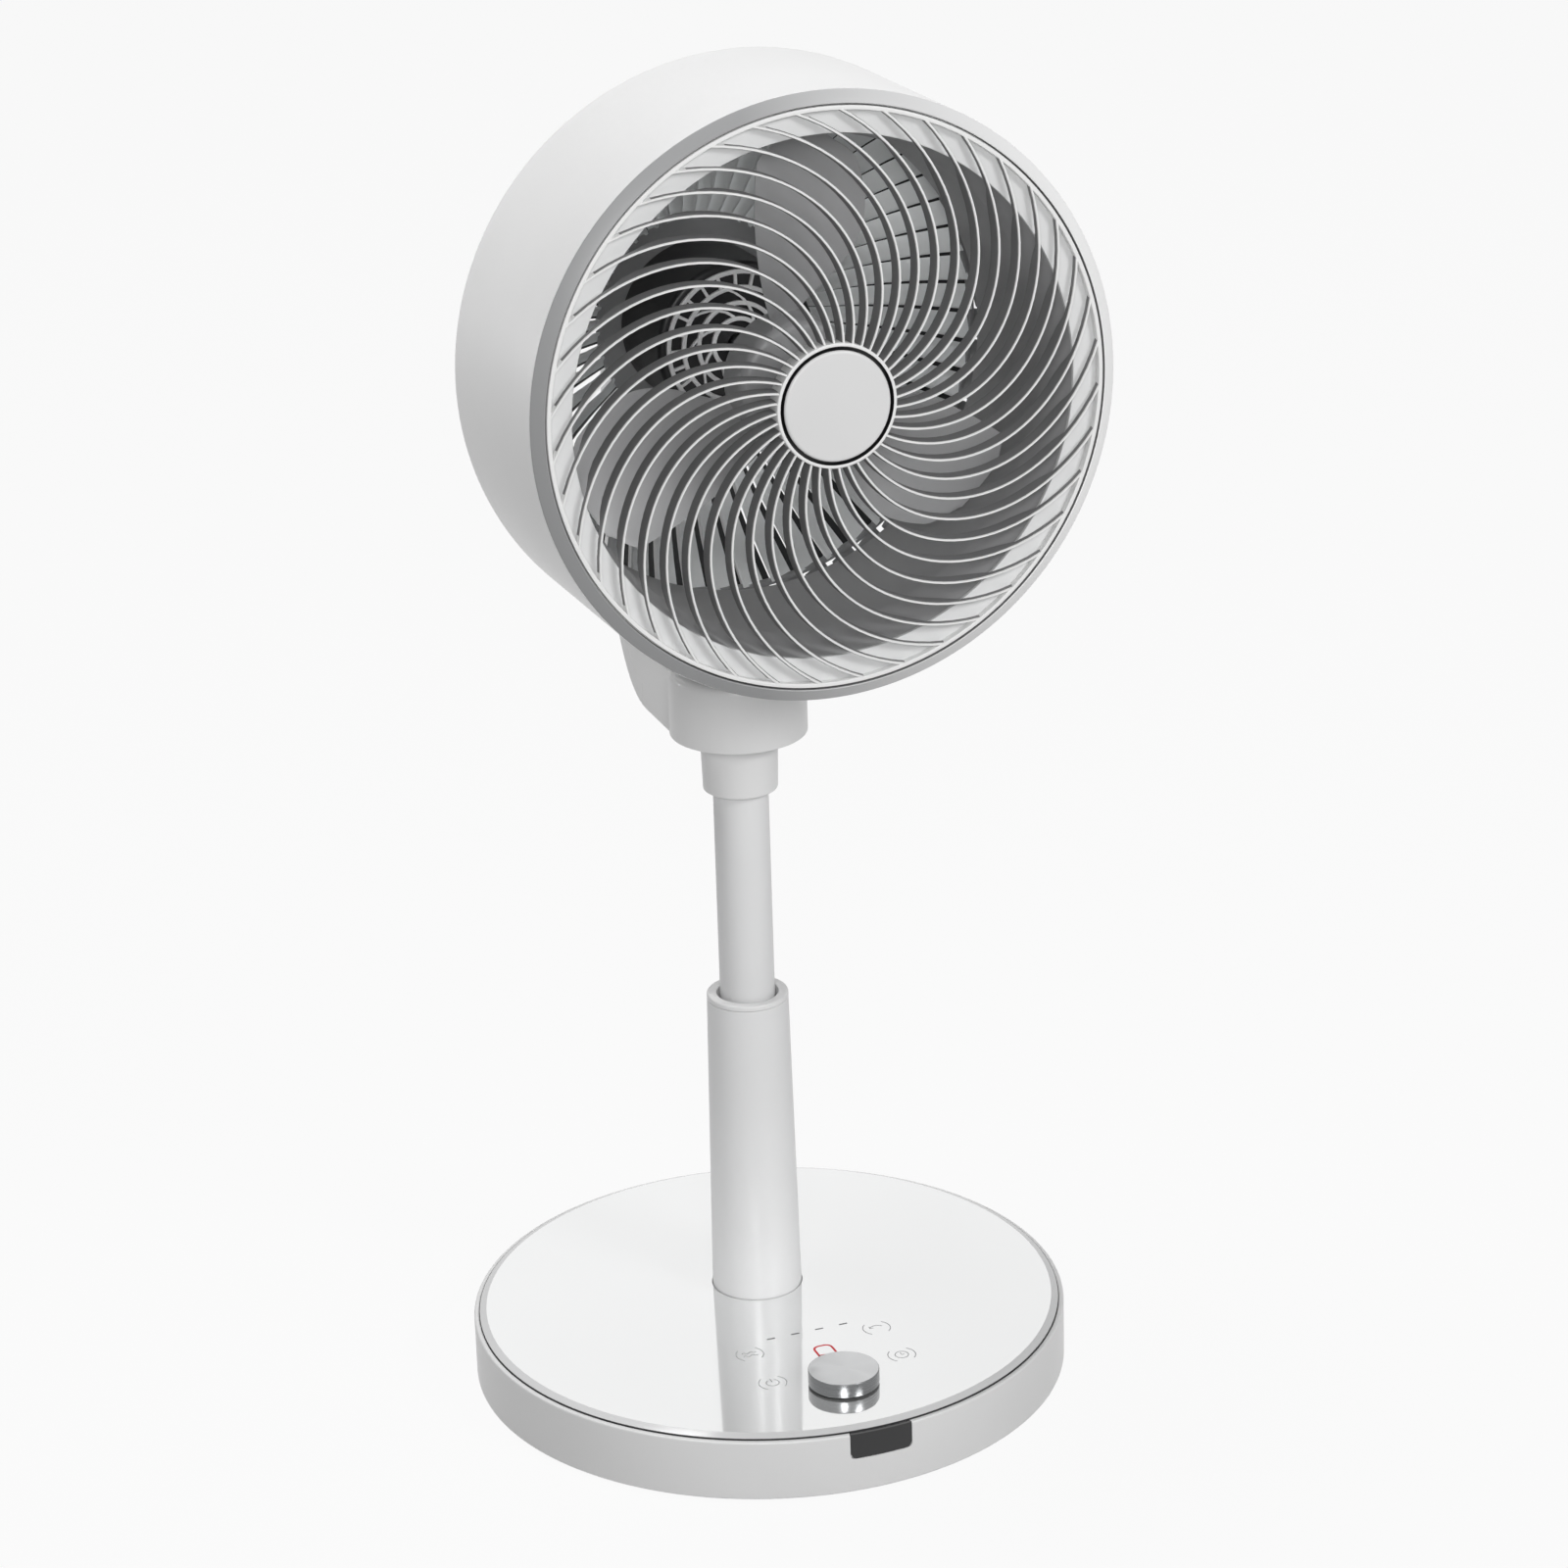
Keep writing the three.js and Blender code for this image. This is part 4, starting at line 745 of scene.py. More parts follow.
# %% Knob
KNOB_RADIUS = 18.7
KNOB_ROUND = 0.7
knob_corners = [
    (0, 43.8), (3.3, 43.8), (3.3, KNOB_BOTTOM), (KNOB_RADIUS, KNOB_BOTTOM, 0.3),
    (KNOB_RADIUS, KNOB_TOP, KNOB_ROUND), (0, KNOB_TOP),
]
knob = lathe("knob_v", knob_corners, on_knob, 128)
face_low = (KNOB_TOP - KNOB_ROUND) * MM
finish_faces(knob, (knob_side, knob_face),
             lambda face: int(face.normal.z > 0.9 and face.center.z > face_low))
dress(knob, knob_side, "knob", "knob_aluminium", "control_knob")
stem = rod("stem_v", 3.0, 21.5, 43.5, on_knob)
dress(bevelled(stem, 0.3), zinc, "knob_stem", "steel", "encoder_stem")

# %% Window
WINDOW_CORNER = 3.0


def window_plate(name, low, high, inner, outer, columns=28, rows=12):
    """A plate bent round the base, with round lower corners and a straight top."""
    points = []
    for radius in (inner, outer):
        for i in range(columns + 1):
            across = (i / columns - 0.5) * WINDOW_WIDTH
            gap = max(0.0, abs(across) - (WINDOW_WIDTH / 2 - WINDOW_CORNER))
            start = low + WINDOW_CORNER - math.sqrt(max(0.0, WINDOW_CORNER**2 - gap**2))
            angle = math.asin((WINDOW_X + across) / radius)
            for j in range(rows + 1):
                rise = start + (high - start) * j / rows
                points.append((radius * math.sin(angle), -radius * math.cos(angle), rise))

    def at(side, i, j):
        return side * (columns + 1) * (rows + 1) + i * (rows + 1) + j

    faces = [[at(side, i, j), at(side, i + 1, j), at(side, i + 1, j + 1), at(side, i, j + 1)]
             for i in range(columns) for j in range(rows) for side in (0, 1)]
    edge = [(i, 0) for i in range(columns)] + [(columns, j) for j in range(rows)]
    edge += [(i, rows) for i in range(columns, 0, -1)] + [(0, j) for j in range(rows, 0, -1)]
    for (i, j), (m, n) in zip(edge, edge[1:] + edge[:1]):
        faces.append([at(0, i, j), at(0, m, n), at(1, m, n), at(1, i, j)])
    return new_piece(name, points, faces)


window = window_plate("side_window_v", WINDOW_LOW, RIM_TOP + 0.1, BASE_RADIUS - 2.2,
                      BASE_RADIUS - 0.1)
dress(window, window_black, "base", "black_plastic", "side_window")

# %% Inlet socket and pins
INLET_BACK = math.sqrt(BASE_RADIUS**2 - (INLET_WIDTH / 2) ** 2) - 0.2
MOUTH_FLOOR = INLET_BACK - 13
PIN_X = 4.5


def on_pin(side):
    """For the round hole and the pin at one side of the inlet: along runs to the back."""
    return lambda u, v, along: Vector((side + u, along, INLET_Z + v))


socket_outline = rounded_box(INLET_WIDTH, INLET_HEIGHT, 2.0, 0, INLET_Z)
inlet = front_slab("inlet_socket_v", socket_outline, INLET_BACK - 20, INLET_BACK)
mouth_outline = rounded_box(18.0, 9.6, 4.4, 0, INLET_Z, 8)
cut(inlet, front_slab("mouth", mouth_outline, MOUTH_FLOOR, INLET_BACK + 2))
for side in (-PIN_X, PIN_X):
    cut(inlet, rod("pin_hole", 1.35, INLET_BACK - 17.3, INLET_BACK - 12, on_pin(side), 32))
dress(bevelled(inlet, 0.35, 2), black, "base", "black_plastic", "inlet_socket")
pin_corners = [
    (0, MOUTH_FLOOR - 4), (1.2, MOUTH_FLOOR - 4, 0.2), (1.2, MOUTH_FLOOR + 6.5, 0.9),
    (0, MOUTH_FLOOR + 6.5),
]
for number, side in enumerate((-PIN_X, PIN_X), 1):
    pin = lathe(f"inlet_pin_{number}_v", pin_corners, on_pin(side), 40)
    dress(pin, zinc, "base", "steel", f"inlet_pin_{number}")

# %% [markdown]
# ## Underneath
# A flat cover plate closes the base, four screws with a cross recess hold it, and six rubber pads
# carry the fan. The pads reach the floor and the plate hangs just above it.

# %% Bottom plate, screws and feet
PLATE_RADIUS = 156.9
SCREW_CIRCLE = 149.0
FOOT_CIRCLE = 138
screw_angles = [math.pi / 4 + k * math.pi / 2 for k in range(4)]
screw_spots = [(SCREW_CIRCLE * math.cos(a), SCREW_CIRCLE * math.sin(a)) for a in screw_angles]
plate_corners = [(0, 1.5), (PLATE_RADIUS, 1.5, 0.4), (PLATE_RADIUS, 4.0, 0.4), (0, 4.0)]
plate = lathe("bottom_plate_v", plate_corners, on_base, 192)
for x, y in screw_spots:
    cut(plate, rod("sink", 3.5, 0.5, 2.9, moved(on_base, x, y), 32))
    cut(plate, rod("hole", 1.9, 0.5, 5, moved(on_base, x, y), 32))
dress(plate, plate_grey, "base", "grey_plastic", "bottom_plate")
screw_corners = [(0, 1.6), (3.2, 1.6, 0.5), (3.2, 2.6), (1.6, 2.6), (1.6, 23.4, 0.8), (0, 24.0)]
for number, (x, y) in enumerate(screw_spots, 1):
    screw = lathe(f"base_screw_{number}_v", screw_corners, moved(on_base, x, y), 40)
    for size in ((0.7, 3.6), (3.6, 0.7)):
        cut(screw, slab("recess", rounded_box(*size, 0.1, x, y, 1), 1.0, 2.2, on_base))
    dress(screw, zinc, "base", "steel", f"base_screw_{number}")
foot_corners = [(0, 0), (9, 0, 0.4), (9, 1.2, 0.2), (0, 1.2)]
for k in range(6):
    angle = math.pi / 6 + k * math.pi / 3
    spot = moved(on_base, FOOT_CIRCLE * math.cos(angle), FOOT_CIRCLE * math.sin(angle))
    foot = lathe(f"foot_{k + 1}_v", foot_corners, spot, 64)
    dress(foot, rubber, "base", "rubber", f"foot_{k + 1}")

# %% [markdown]
# ## The column
# A slightly tapered outer sleeve stands in the base, closed at the top by a white ring. The inner
# tube slides in it and carries a tapered collar under the neck. All four are turned shapes; a
# painted tube has a soft sheen along its length, which needs a smooth and finely divided lathe.

# %% Sleeve, cap, tube and collar
SLEEVE_HEAD = 21.8
SLEEVE_WALL = 2.2
SLEEVE_TOP = 206.5
TUBE_INNER, TUBE_OUTER = 12.65, 14.65
TUBE_TOP = 356.5
sleeve_corners = [
    (SLEEVE_FOOT - SLEEVE_WALL, DECK_BOTTOM), (SLEEVE_FOOT, DECK_BOTTOM, 0.3),
    (SLEEVE_HEAD, SLEEVE_TOP, 0.5), (SLEEVE_HEAD - SLEEVE_WALL, SLEEVE_TOP),
]
cap_corners = [
    (16.4, 198.5), (19.3, 198.5, 0.3), (19.3, 206.8), (SLEEVE_HEAD, 206.8, 0.2),
    (SLEEVE_HEAD, 209.5, 1.0), (16.4, 209.5, 0.8),
]
tube_corners = [
    (TUBE_INNER, 158, 0.2), (TUBE_OUTER, 158, 0.2), (TUBE_OUTER, TUBE_TOP, 0.2),
    (TUBE_INNER, TUBE_TOP, 0.2),
]
collar_corners = [
    (14.95, 326.8, 0.2), (19.7, 326.8, 0.9), (20.5, TUBE_TOP, 0.4), (14.95, TUBE_TOP, 0.2),
]
for name, corners, finish, body, slot in (
    ("outer_sleeve", sleeve_corners, paint, "base", "painted_tube"),
    ("sleeve_cap", cap_corners, white, "base", "white_plastic"),
    ("inner_tube", tube_corners, paint, "mast", "painted_tube"),
    ("column_collar", collar_corners, white, "mast", "white_plastic"),
):
    dress(lathe(f"{name}_v", corners, on_column, 128), finish, body, slot, name)

# %% [markdown]
# ## The neck and the arm
# The neck is a drum over the column with a J-shaped arm behind it. The arm is a side outline that
# narrows towards two ears. The side outline and the front outline are each raised to a slab, and
# what they share is the arm. The drum is added, a hollow taken out, and a fork and two round
# pockets cut for the tilt drive. A second outline parts the removable back cover from the shell.

# %% Outlines of the arm
NECK_LOW = 358.5
NECK_TOP = 394.0
NECK_WALL = 2.6
NECK_RADIUS, NECK_ROUND = 36.2, 5.0
EAR = 18.0
ARM_START = COLUMN_Y + 46
ARM_RISE = 452.0
HOLLOW_TOP = PIVOT_Z - 26


def curve(start, first, second, end, steps=22):
    points = []
    for k in range(steps + 1):
        t = k / steps
        weights = ((1 - t) ** 3, 3 * t * (1 - t) ** 2, 3 * t * t * (1 - t), t**3)
        points.append(tuple(sum(w * p[i] for w, p in zip(weights, (start, first, second, end)))
                            for i in (0, 1)))
    return points


def arm_side(inset, top=None):
    """The arm from the side, as (y, z) points, drawn in by inset all round."""
    back = PIVOT_Y + EAR - inset
    front = PIVOT_Y - EAR + inset
    low, high = NECK_LOW + inset, NECK_TOP - inset
    outline = [(COLUMN_Y, low)]
    outline += curve((ARM_START, low), (ARM_START + 31, low), (back - 22, low + 27),
                     (back, ARM_RISE))
    if top is None:
        outline += arc(PIVOT_Y, PIVOT_Z, EAR, 0, 180, 32)
    else:
        outline += [(back, top), (front, top)]
    outline += curve((front, ARM_RISE), (front, ARM_RISE - 38), (front - 12 + inset, high),
                     (front - 36 + inset, high))
    return outline + [(COLUMN_Y, high)]


def arm_front(inset):
    foot, ear = 34.5 - inset, 30.0 - inset
    right = [(foot, NECK_LOW - 1), (foot, 430, 30), (ear, 520, 30), (ear, 610)]
    left = [(-x, *rest) for x, *rest in reversed(right)]
    return softened(right + left, 5)


def side_slab(name, outline, half):
    return slab(name, outline, -half, half, lambda u, v, along: Vector((along, u, v)))


def neck_drum(name, inset):
    radius, low, high = NECK_RADIUS - inset, NECK_LOW + inset, NECK_TOP - inset
    corners = [(0, low), (radius, low, 0.5), (radius, high, NECK_ROUND - inset), (0, high)]
    return lathe(name, corners, on_column, 128, 6)


def arm_body(name, inset, top=None, soften=0.0):
    body = side_slab(name, arm_side(inset, top), 40)
    combine(body, front_slab("taper", arm_front(inset), COLUMN_Y - 1, 150), "INTERSECT")
    if soften:
        bevelled(body, soften, 3, 40)
    return combine(body, neck_drum("drum", inset), "UNION")


print("arm outline has", len(arm_side(0)), "points")


# %% Neck shell and arm cover
def hollow_neck(name):
    shell = arm_body(name, 0, soften=1.6)
    inside = arm_body("inside", NECK_WALL, HOLLOW_TOP - NECK_WALL)
    combine(inside, rod("tube_hole", 12.95, NECK_LOW - 2, NECK_LOW + 4, on_column, 64), "UNION")
    cut(shell, inside)
    fork = rounded_box(21.6, 80, 0.4, 0, PIVOT_Y, 1)
    cut(shell, slab("fork", fork, PIVOT_Z - 22, PIVOT_Z + 40, on_base))
    for low, high in ((-40, -12.5), (12.5, 40)):
        cut(shell, rod("pocket", 13.5, low, high, on_pivot, 96))
    return cut(shell, rod("shaft_hole", 4.3, -20, 20, on_pivot))


def cover_region(name, grow):
    """The space behind the parting line, made larger by grow."""
    start = ARM_START + 6 - grow
    line = PIVOT_Y + EAR - 14 - grow
    bend = NECK_LOW + 14
    top = HOLLOW_TOP - 6 + grow
    outline = [(start, NECK_LOW - 1)]
    outline += curve((start, bend), (start + 20, bend + 2), (line - 16, ARM_RISE - 52),
                     (line, ARM_RISE))
    outline += [(line, top), (150, top), (150, NECK_LOW - 1)]
    return side_slab(name, outline, 45)


neck_shell = hollow_neck("neck_shell_v")
arm_cover = neck_shell.copy()
arm_cover.data = neck_shell.data.copy()
arm_cover.name = "arm_cover_v"
bpy.context.scene.collection.objects.link(arm_cover)
cut(neck_shell, cover_region("region", 0.3))
combine(arm_cover, cover_region("region", 0), "INTERSECT")
dress(neck_shell, white, "neck", "white_plastic", "neck_shell")
dress(arm_cover, white, "neck", "white_plastic", "arm_cover")

# %% [markdown]
# ## The tilt joint
# Grey caps close the ears. Between them sits the knuckle's eye on a steel shaft, and the knuckle's
# plate is screwed to the back of the head.

# %% Ears, knuckle and shaft
SHAFT_HALF = 24.7
ear_corners = [(0, 28.3), (13.2, 28.3, 0.2), (13.2, 29.9, 0.9), (0, 29.9)]
for side, sign in (("left", -1), ("right", 1)):
    cap = lathe(f"ear_cap_{side}_v", ear_corners,
                lambda u, v, along, s=sign: on_pivot(u, v, s * along), 96)
    dress(cap, ear_grey, "neck", "grey_plastic", f"ear_cap_{side}")
flange_corners = [(0, 208.7), (24, 208.7, 0.6), (24, 212.1, 1.2), (0, 212.1)]
knuckle = lathe("tilt_knuckle_v", flange_corners, on_head, 96)
combine(knuckle, slab("bar", rounded_box(20, 22, 2.4), 209.7, 240, on_head), "UNION")
eye = lathe("eye", [(0, -10), (14, -10, 1.2), (14, 10, 1.2), (0, 10)], on_pivot, 96)
combine(knuckle, eye, "UNION")
cut(knuckle, rod("bore", 4.15, -14, 14, on_pivot))
dress(knuckle, zinc, "head", "steel", "tilt_knuckle")
shaft_corners = [(0, -SHAFT_HALF), (4, -SHAFT_HALF, 0.4), (4, SHAFT_HALF, 0.4), (0, SHAFT_HALF)]
shaft = lathe("tilt_shaft_v", shaft_corners, on_pivot, 48)
dress(shaft, zinc, "head", "steel", "tilt_shaft")

# %% [markdown]
# ## The drum and its front ring
# The head is a deep drum with a soft back edge. One front ring holds three surfaces: a bevelled
# band whose grey, fading to white, is painted shading, the narrow groove round the grille in a dark
# grey of painted shade, and the pale flare behind the rib ends. It is a single turned piece, and
# its faces take their finish from how far out they lie.

# %% Drum
DRUM_RADIUS = 150.4
DRUM_BACK = 122.6
drum_corners = [
    (147.9, 4.3), (DRUM_RADIUS, 4.3, 0.2), (DRUM_RADIUS, DRUM_BACK, 6), (146.3, DRUM_BACK, 0.5),
    (146.3, 119.1), (147.9, 117.6),
]
drum = lathe("drum_shell_v", drum_corners, on_head, 256, 6)
dress(drum, white, "head", "white_plastic", "drum_shell")

# %% Front ring and duct
GROOVE_INNER, GROOVE_OUTER = 143.2, 143.95
head_middle = on_head(0, 0, 0) * MM
head_axis = Vector((0, math.cos(LEAN), -math.sin(LEAN)))
ring_corners = [
    (129, 4.5, 0.6), (143.8, 4.5, 0.3), (143.8, 0, 0.2), (144.3, -0.3, 0.2), (149.9, 3.5, 0.6),
    (DRUM_RADIUS, 4.0, 0.2), (147.6, 4.0), (147.6, 15), (145.6, 15), (145.6, 7), (129, 7, 0.3),
]


def from_axis(face):
    """How far a face's middle lies from the head's axis and behind its front, in millimetres."""
    offset = face.center - head_middle
    back = offset.dot(head_axis)
    return (offset - head_axis * back).length / MM, back / MM


def ring_finish(face):
    """Flare 0, band 1, groove 2."""
    out, _ = from_axis(face)
    return 2 if GROOVE_INNER < out < GROOVE_OUTER else int(out >= GROOVE_OUTER)


front_ring = lathe("front_bezel_v", ring_corners, on_head, 256, 3)
# The band's grey fading to white is painted shading, and the groove's dark grey is painted shade.
finish_faces(front_ring, (flare_grey, band_painted_shading, grille_painted_shade), ring_finish)
dress(front_ring, flare_grey, "head", "grey_plastic", "front_bezel")
duct_corners = [
    (129.6, 7.3, 0.3), (137.6, 7.3), (137.6, 9.3), (131.6, 9.3, 4), (126, 33.3, 14), (126, 112),
    (124, 112, 0.6), (124, 33.3, 16),
]
duct = lathe("air_duct_v", duct_corners, on_head, 224, 6)
dress(duct, duct_grey, "head", "dark_plastic", "air_duct")

# %% [markdown]
# ## The spiral grille
# Forty ribs sweep sixty degrees from the hub to the rim. Each is a thin deep blade with a rounded
# front edge, and it gets shallow over the flare. The front edges are white and the sides carry
# painted shade in a dark grey, which is what draws the spiral in the photo. The whole grille bulges
# 8 mm forward.

# %% Rib curve
HUB = 30.8
RIM_RADIUS = 143.0
RIM_START = 141.0
RIBS = 40
RIB_HALF = 0.95
RIB_START = HUB - 0.85
RIB_LENGTH = RIM_RADIUS - 1.1 - HUB + 0.85
RIB_STEPS = 30
DOME = 8.0


def rib_angle(radius):
    run, length = radius - HUB, RIM_RADIUS - HUB
    first = math.tan(math.radians(9)) / HUB
    second = (math.radians(60) - first * length) / length**2
    return first * run + second * run**2


def rib_front(radius):
    share = (radius - HUB) / (RIM_RADIUS - HUB)
    return -DOME * (1 - share**2)


def eased(value, low, high):
    t = min(1.0, max(0.0, (value - low) / (high - low)))
    return t * t * (3 - 2 * t)


def rib_section(radius, turn):
    """Eight points round a rib at a radius: rounded in front, square behind."""
    angle = rib_angle(radius) + turn
    slope = (rib_angle(radius + 0.5) - rib_angle(radius - 0.5)) * radius
    lean = angle + math.atan(slope)
    front = rib_front(radius)
    if radius >= RIM_START:
        front = min(front + 0.3, 0.3)
    depth = 8.5 - 5.5 * eased(radius, 121, 127.5)
    middle = Vector((radius * math.cos(angle), radius * math.sin(angle)))
    across = Vector((-math.sin(lean), math.cos(lean)))
    shape = [(1, depth), (0.95, 2.4), (0.66, 0.7), (0.42, 0.08), (-0.42, 0.08), (-0.66, 0.7),
             (-0.95, 2.4), (-1, depth)]
    points = []
    for side, back in shape:
        p = middle + across * (side * RIB_HALF)
        points.append(on_head(p.x, p.y, front + back))
    return points


radii = [RIB_START + RIB_LENGTH * k / RIB_STEPS for k in range(RIB_STEPS + 1)]
print("a rib has", len(radii), "sections and sweeps", round(math.degrees(rib_angle(RIM_RADIUS))),
      "degrees")

# %% Grille mesh
ribs = [loft_data([rib_section(r, 2 * math.pi * k / RIBS) for r in radii]) for k in range(RIBS)]
rim_corners = [(140.8, 0.1, 0.5), (143, 0.1, 0.6), (143, 4.2, 0.3), (140.8, 4.2, 0.3)]
hub_corners = [
    (0, -3.9), (29.1, -3.9), (29.1, -8.8, 0.4), (30.8, -8.8, 0.7), (30.8, 2.1, 0.3), (0, 2.1),
]
grille = new_piece("front_grille_v", *together(ribs + [
    lathe_data(softened(rim_corners, 3), on_head, 240),
    lathe_data(softened(hub_corners, 3), on_head, 120),
]))


def grille_finish(face):
    """White in front, black painted shade in the pocket of the cap, dark grey painted shade on the
    ribs' sides.
    """
    out, back = from_axis(face)
    # Painted shade: the pocket round the hub cap is black.
    if out < 29.15 and back < -3:
        return 2
    # Painted shade: the ribs' sides take the dark grey.
    sideways = abs(face.normal.dot(head_axis)) <= 0.35
    on_rib = 31.5 < out < 140.5 and back > rib_front(out) + 0.9
    return int(sideways and on_rib)


finish_faces(grille, (grille_white, grille_painted_shade, black), grille_finish)
dress(grille, grille_white, "head", "grille_white", "front_grille")
cap_corners = [(0, -9.6), (27.4, -9.6, 1.8), (27.4, -4.2, 0.3), (0, -4.2)]
hub_cap = lathe("hub_cap_v", cap_corners, on_head, 128, 5)
# Painted shade: the cap's round side is black, for the shade in the gap round it.
finish_faces(hub_cap, (cap_grey, black), lambda face: int(abs(face.normal.dot(head_axis)) < 0.2))
dress(hub_cap, cap_grey, "head", "grey_plastic", "hub_cap")

# %% [markdown]
# ## The impeller
# Three broad blades with a belly move the air. A blade is a row of curved sections from the hub to
# the tip: each is an arc of a helix with rounded ends, thickest in its middle. The front edge turns
# a little from root to tip, and the rear edge bulges half way out.

# %% Blades
HUB_ROOT = 30.8
TIP = 120.0
BLADE_FRONT = 38.0
BLADE_LENGTH = 20.0
BLADE_THICK = 2.2
BLADE_BELLY = 4
BLADES = 3


def blade_edges(share):
    """Angles of the front and the rear edge, in degrees, at a share of the way to the tip."""
    bend = share**0.8
    return 116 - 18 * bend, 80 - 7 * share - 19 * math.sin(math.pi * bend)


def blade_section(share, turn, columns=20):
    radius = HUB_ROOT + (TIP - HUB_ROOT) * share
    lead, trail = blade_edges(share)
    length = BLADE_LENGTH * (1 - 0.1 * share**2)
    tip_round = 1 - 0.42 * eased(share, 0.88, 1.0) ** 2
    points = []
    for side in (0, 1):
        order = range(columns + 1) if side == 0 else range(columns, -1, -1)
        for j in order:
            along = 0.5 + (j / columns - 0.5) * tip_round
            thick = BLADE_THICK * (0.25 + 0.75 * math.sin(math.pi * j / columns) ** 0.5)
            a = math.radians(turn + lead + (trail - lead) * along)
            back = BLADE_FRONT + (BLADE_LENGTH - length) / 2 + length * along
            back += BLADE_BELLY * math.sin(math.pi * along) + BLADE_THICK / 2
            back += (side - 0.5) * thick
            points.append(on_head(radius * math.cos(a), radius * math.sin(a), back))
    return points


def blade_data(turn):
    shares = [k / 20 * 0.9 for k in range(21)] + [0.92, 0.94, 0.96, 0.975, 0.985, 0.994, 1.0]
    return loft_data([blade_section(s, turn) for s in shares])


hub_corners = [
    (4.1, 36, 0.3), (32, 36, 6), (32, 62, 0.5), (29.6, 62, 0.4), (29.6, 39.4, 5), (11, 39.4, 0.5),
    (11, 86, 1), (4.1, 86),
]
impeller = new_piece("impeller_v", *together(
    [blade_data(360 / BLADES * k) for k in range(BLADES)]
    + [lathe_data(softened(hub_corners, 5), on_head, 128)]))
dress(impeller, blade_grey, "rotor", "dark_plastic", "impeller")
nut_corners = [(0, 27.7), (11, 27.7, 3), (11, 35.7), (4.1, 35.7), (4.1, 31.7), (0, 31.7)]
nut = lathe("spinner_nut_v", nut_corners, on_head, 64, 6)
dress(nut, blade_grey, "rotor", "dark_plastic", "spinner_nut")
shaft_corners = [(0, 32), (4, 32, 0.4), (4, 185.7, 0.4), (0, 185.7)]
dress(lathe("motor_shaft_v", shaft_corners, on_head, 48), zinc, "rotor", "steel", "motor_shaft")

# %% [markdown]
# ## The rear guard, the motor and the rear cap
# Slanted slats close the back of the head in a bowed cone, with a ring near the rim. Inside the
# ring they are pale and overlap, and the strips that they cover are black painted shade, so that
# only dark lines show between them. Outside it they are narrower and in a darker grey of painted
# shade, and the room shows through. The black motor can sits in the middle behind a round vent of
# rings and bars, and a white cap covers its back.

# %% Slats
SLATS = 52
SLAT_STEPS = 7
REAR_RIM = 146.0
REAR_HUB = 54.0
RING_RADIUS = 131.0
GUARD_BACK = 188


def guard_back(radius):
    share = (REAR_RIM - radius) / (REAR_RIM - REAR_HUB)
    return DRUM_BACK + (GUARD_BACK - DRUM_BACK) * share + 14 * math.sin(math.pi * share)


def slat_section(radius, turn, cover):
    """Seven points round a slat whose width covers a share of the spacing at a radius."""
    far = guard_back(radius)
    depth = 3 + 4 * eased(radius, 54, 64)
    slant = cover * 2 * math.pi * radius / SLATS - 1.8
    outward = Vector((math.cos(turn), math.sin(turn)))
    across = Vector((-math.sin(turn), math.cos(turn)))
    corners = [(-0.8, 0.0), (0.0, -0.25), (0.8, 0.0), (0.85, 0.72), (0.8, 1.0), (-0.8, 1.0),
               (-0.85, 0.72)]
    points = []
    for side, share in corners:
        along = max(share, 0.0)
        p = outward * radius + across * (side + slant * (along - 0.5))
        points.append(on_head(p.x, p.y, far - depth + depth * along + min(share, 0.0)))
    return points


def slat_row(near, far, cover):
    """All slats between two radii."""
    radii = [near + (far - near) * k / SLAT_STEPS for k in range(SLAT_STEPS + 1)]
    return [loft_data([slat_section(r, 2 * math.pi * (k + 0.5) / SLATS, cover) for r in radii])
            for k in range(SLATS)]


inner_slats = slat_row(REAR_HUB - 0.5, RING_RADIUS - 0.8, 1.08)
outer_slats = slat_row(RING_RADIUS + 0.8, REAR_RIM - 1.5, 0.88)
print(len(inner_slats), "inner and", len(outer_slats), "outer slats")


# %% Rear guard
def band_data(inner, outer, low, high, soft=0.5, segments=200):
    corners = [(inner, low, soft), (outer, low, soft), (outer, high, soft), (inner, high, soft)]
    return lathe_data(softened(corners, 3), on_head, segments)


ring_back = guard_back(RING_RADIUS) - 0.8
guard = new_piece("rear_guard_v", *together(inner_slats + outer_slats + [
    band_data(143, REAR_RIM, 116.6, DRUM_BACK), band_data(12, 55, 185, GUARD_BACK),
    band_data(RING_RADIUS - 1.3, RING_RADIUS + 1.3, ring_back - 4.2, ring_back),
]))
faces_of_slat = len(inner_slats[0][1])
# Painted shade: each inner slat's covered strip is black, so dark lines show between the slats.
painted_shade_strip = {k for k in range(faces_of_slat - 2) if k % 7 in (3, 4, 5)}


def guard_finish(face):
    """Inner slats pale with black painted shade where they are covered; the rest is painted shade.
    """
    which, place_in_slat = divmod(face.index, faces_of_slat)
    if which >= SLATS:
        return 1
    return 2 if place_in_slat in painted_shade_strip else 0


finish_faces(guard, (slat_pale, slat_painted_shade, black), guard_finish)
dress(guard, slat_pale, "head", "grille_white", "rear_guard")

# %% Motor can, vent and rear cap
VENT_FRONT, VENT_BACK = 126.4, 127.9
can_corners = [
    (5, 128, 0.3), (42, 128, 3), (42, 184.7, 0.4), (39.6, 184.7), (39.6, 130.4, 2), (5, 130.4),
]
can = lathe("motor_housing_v", can_corners, on_head, 128, 5)
dress(can, black, "head", "black_plastic", "motor_housing")


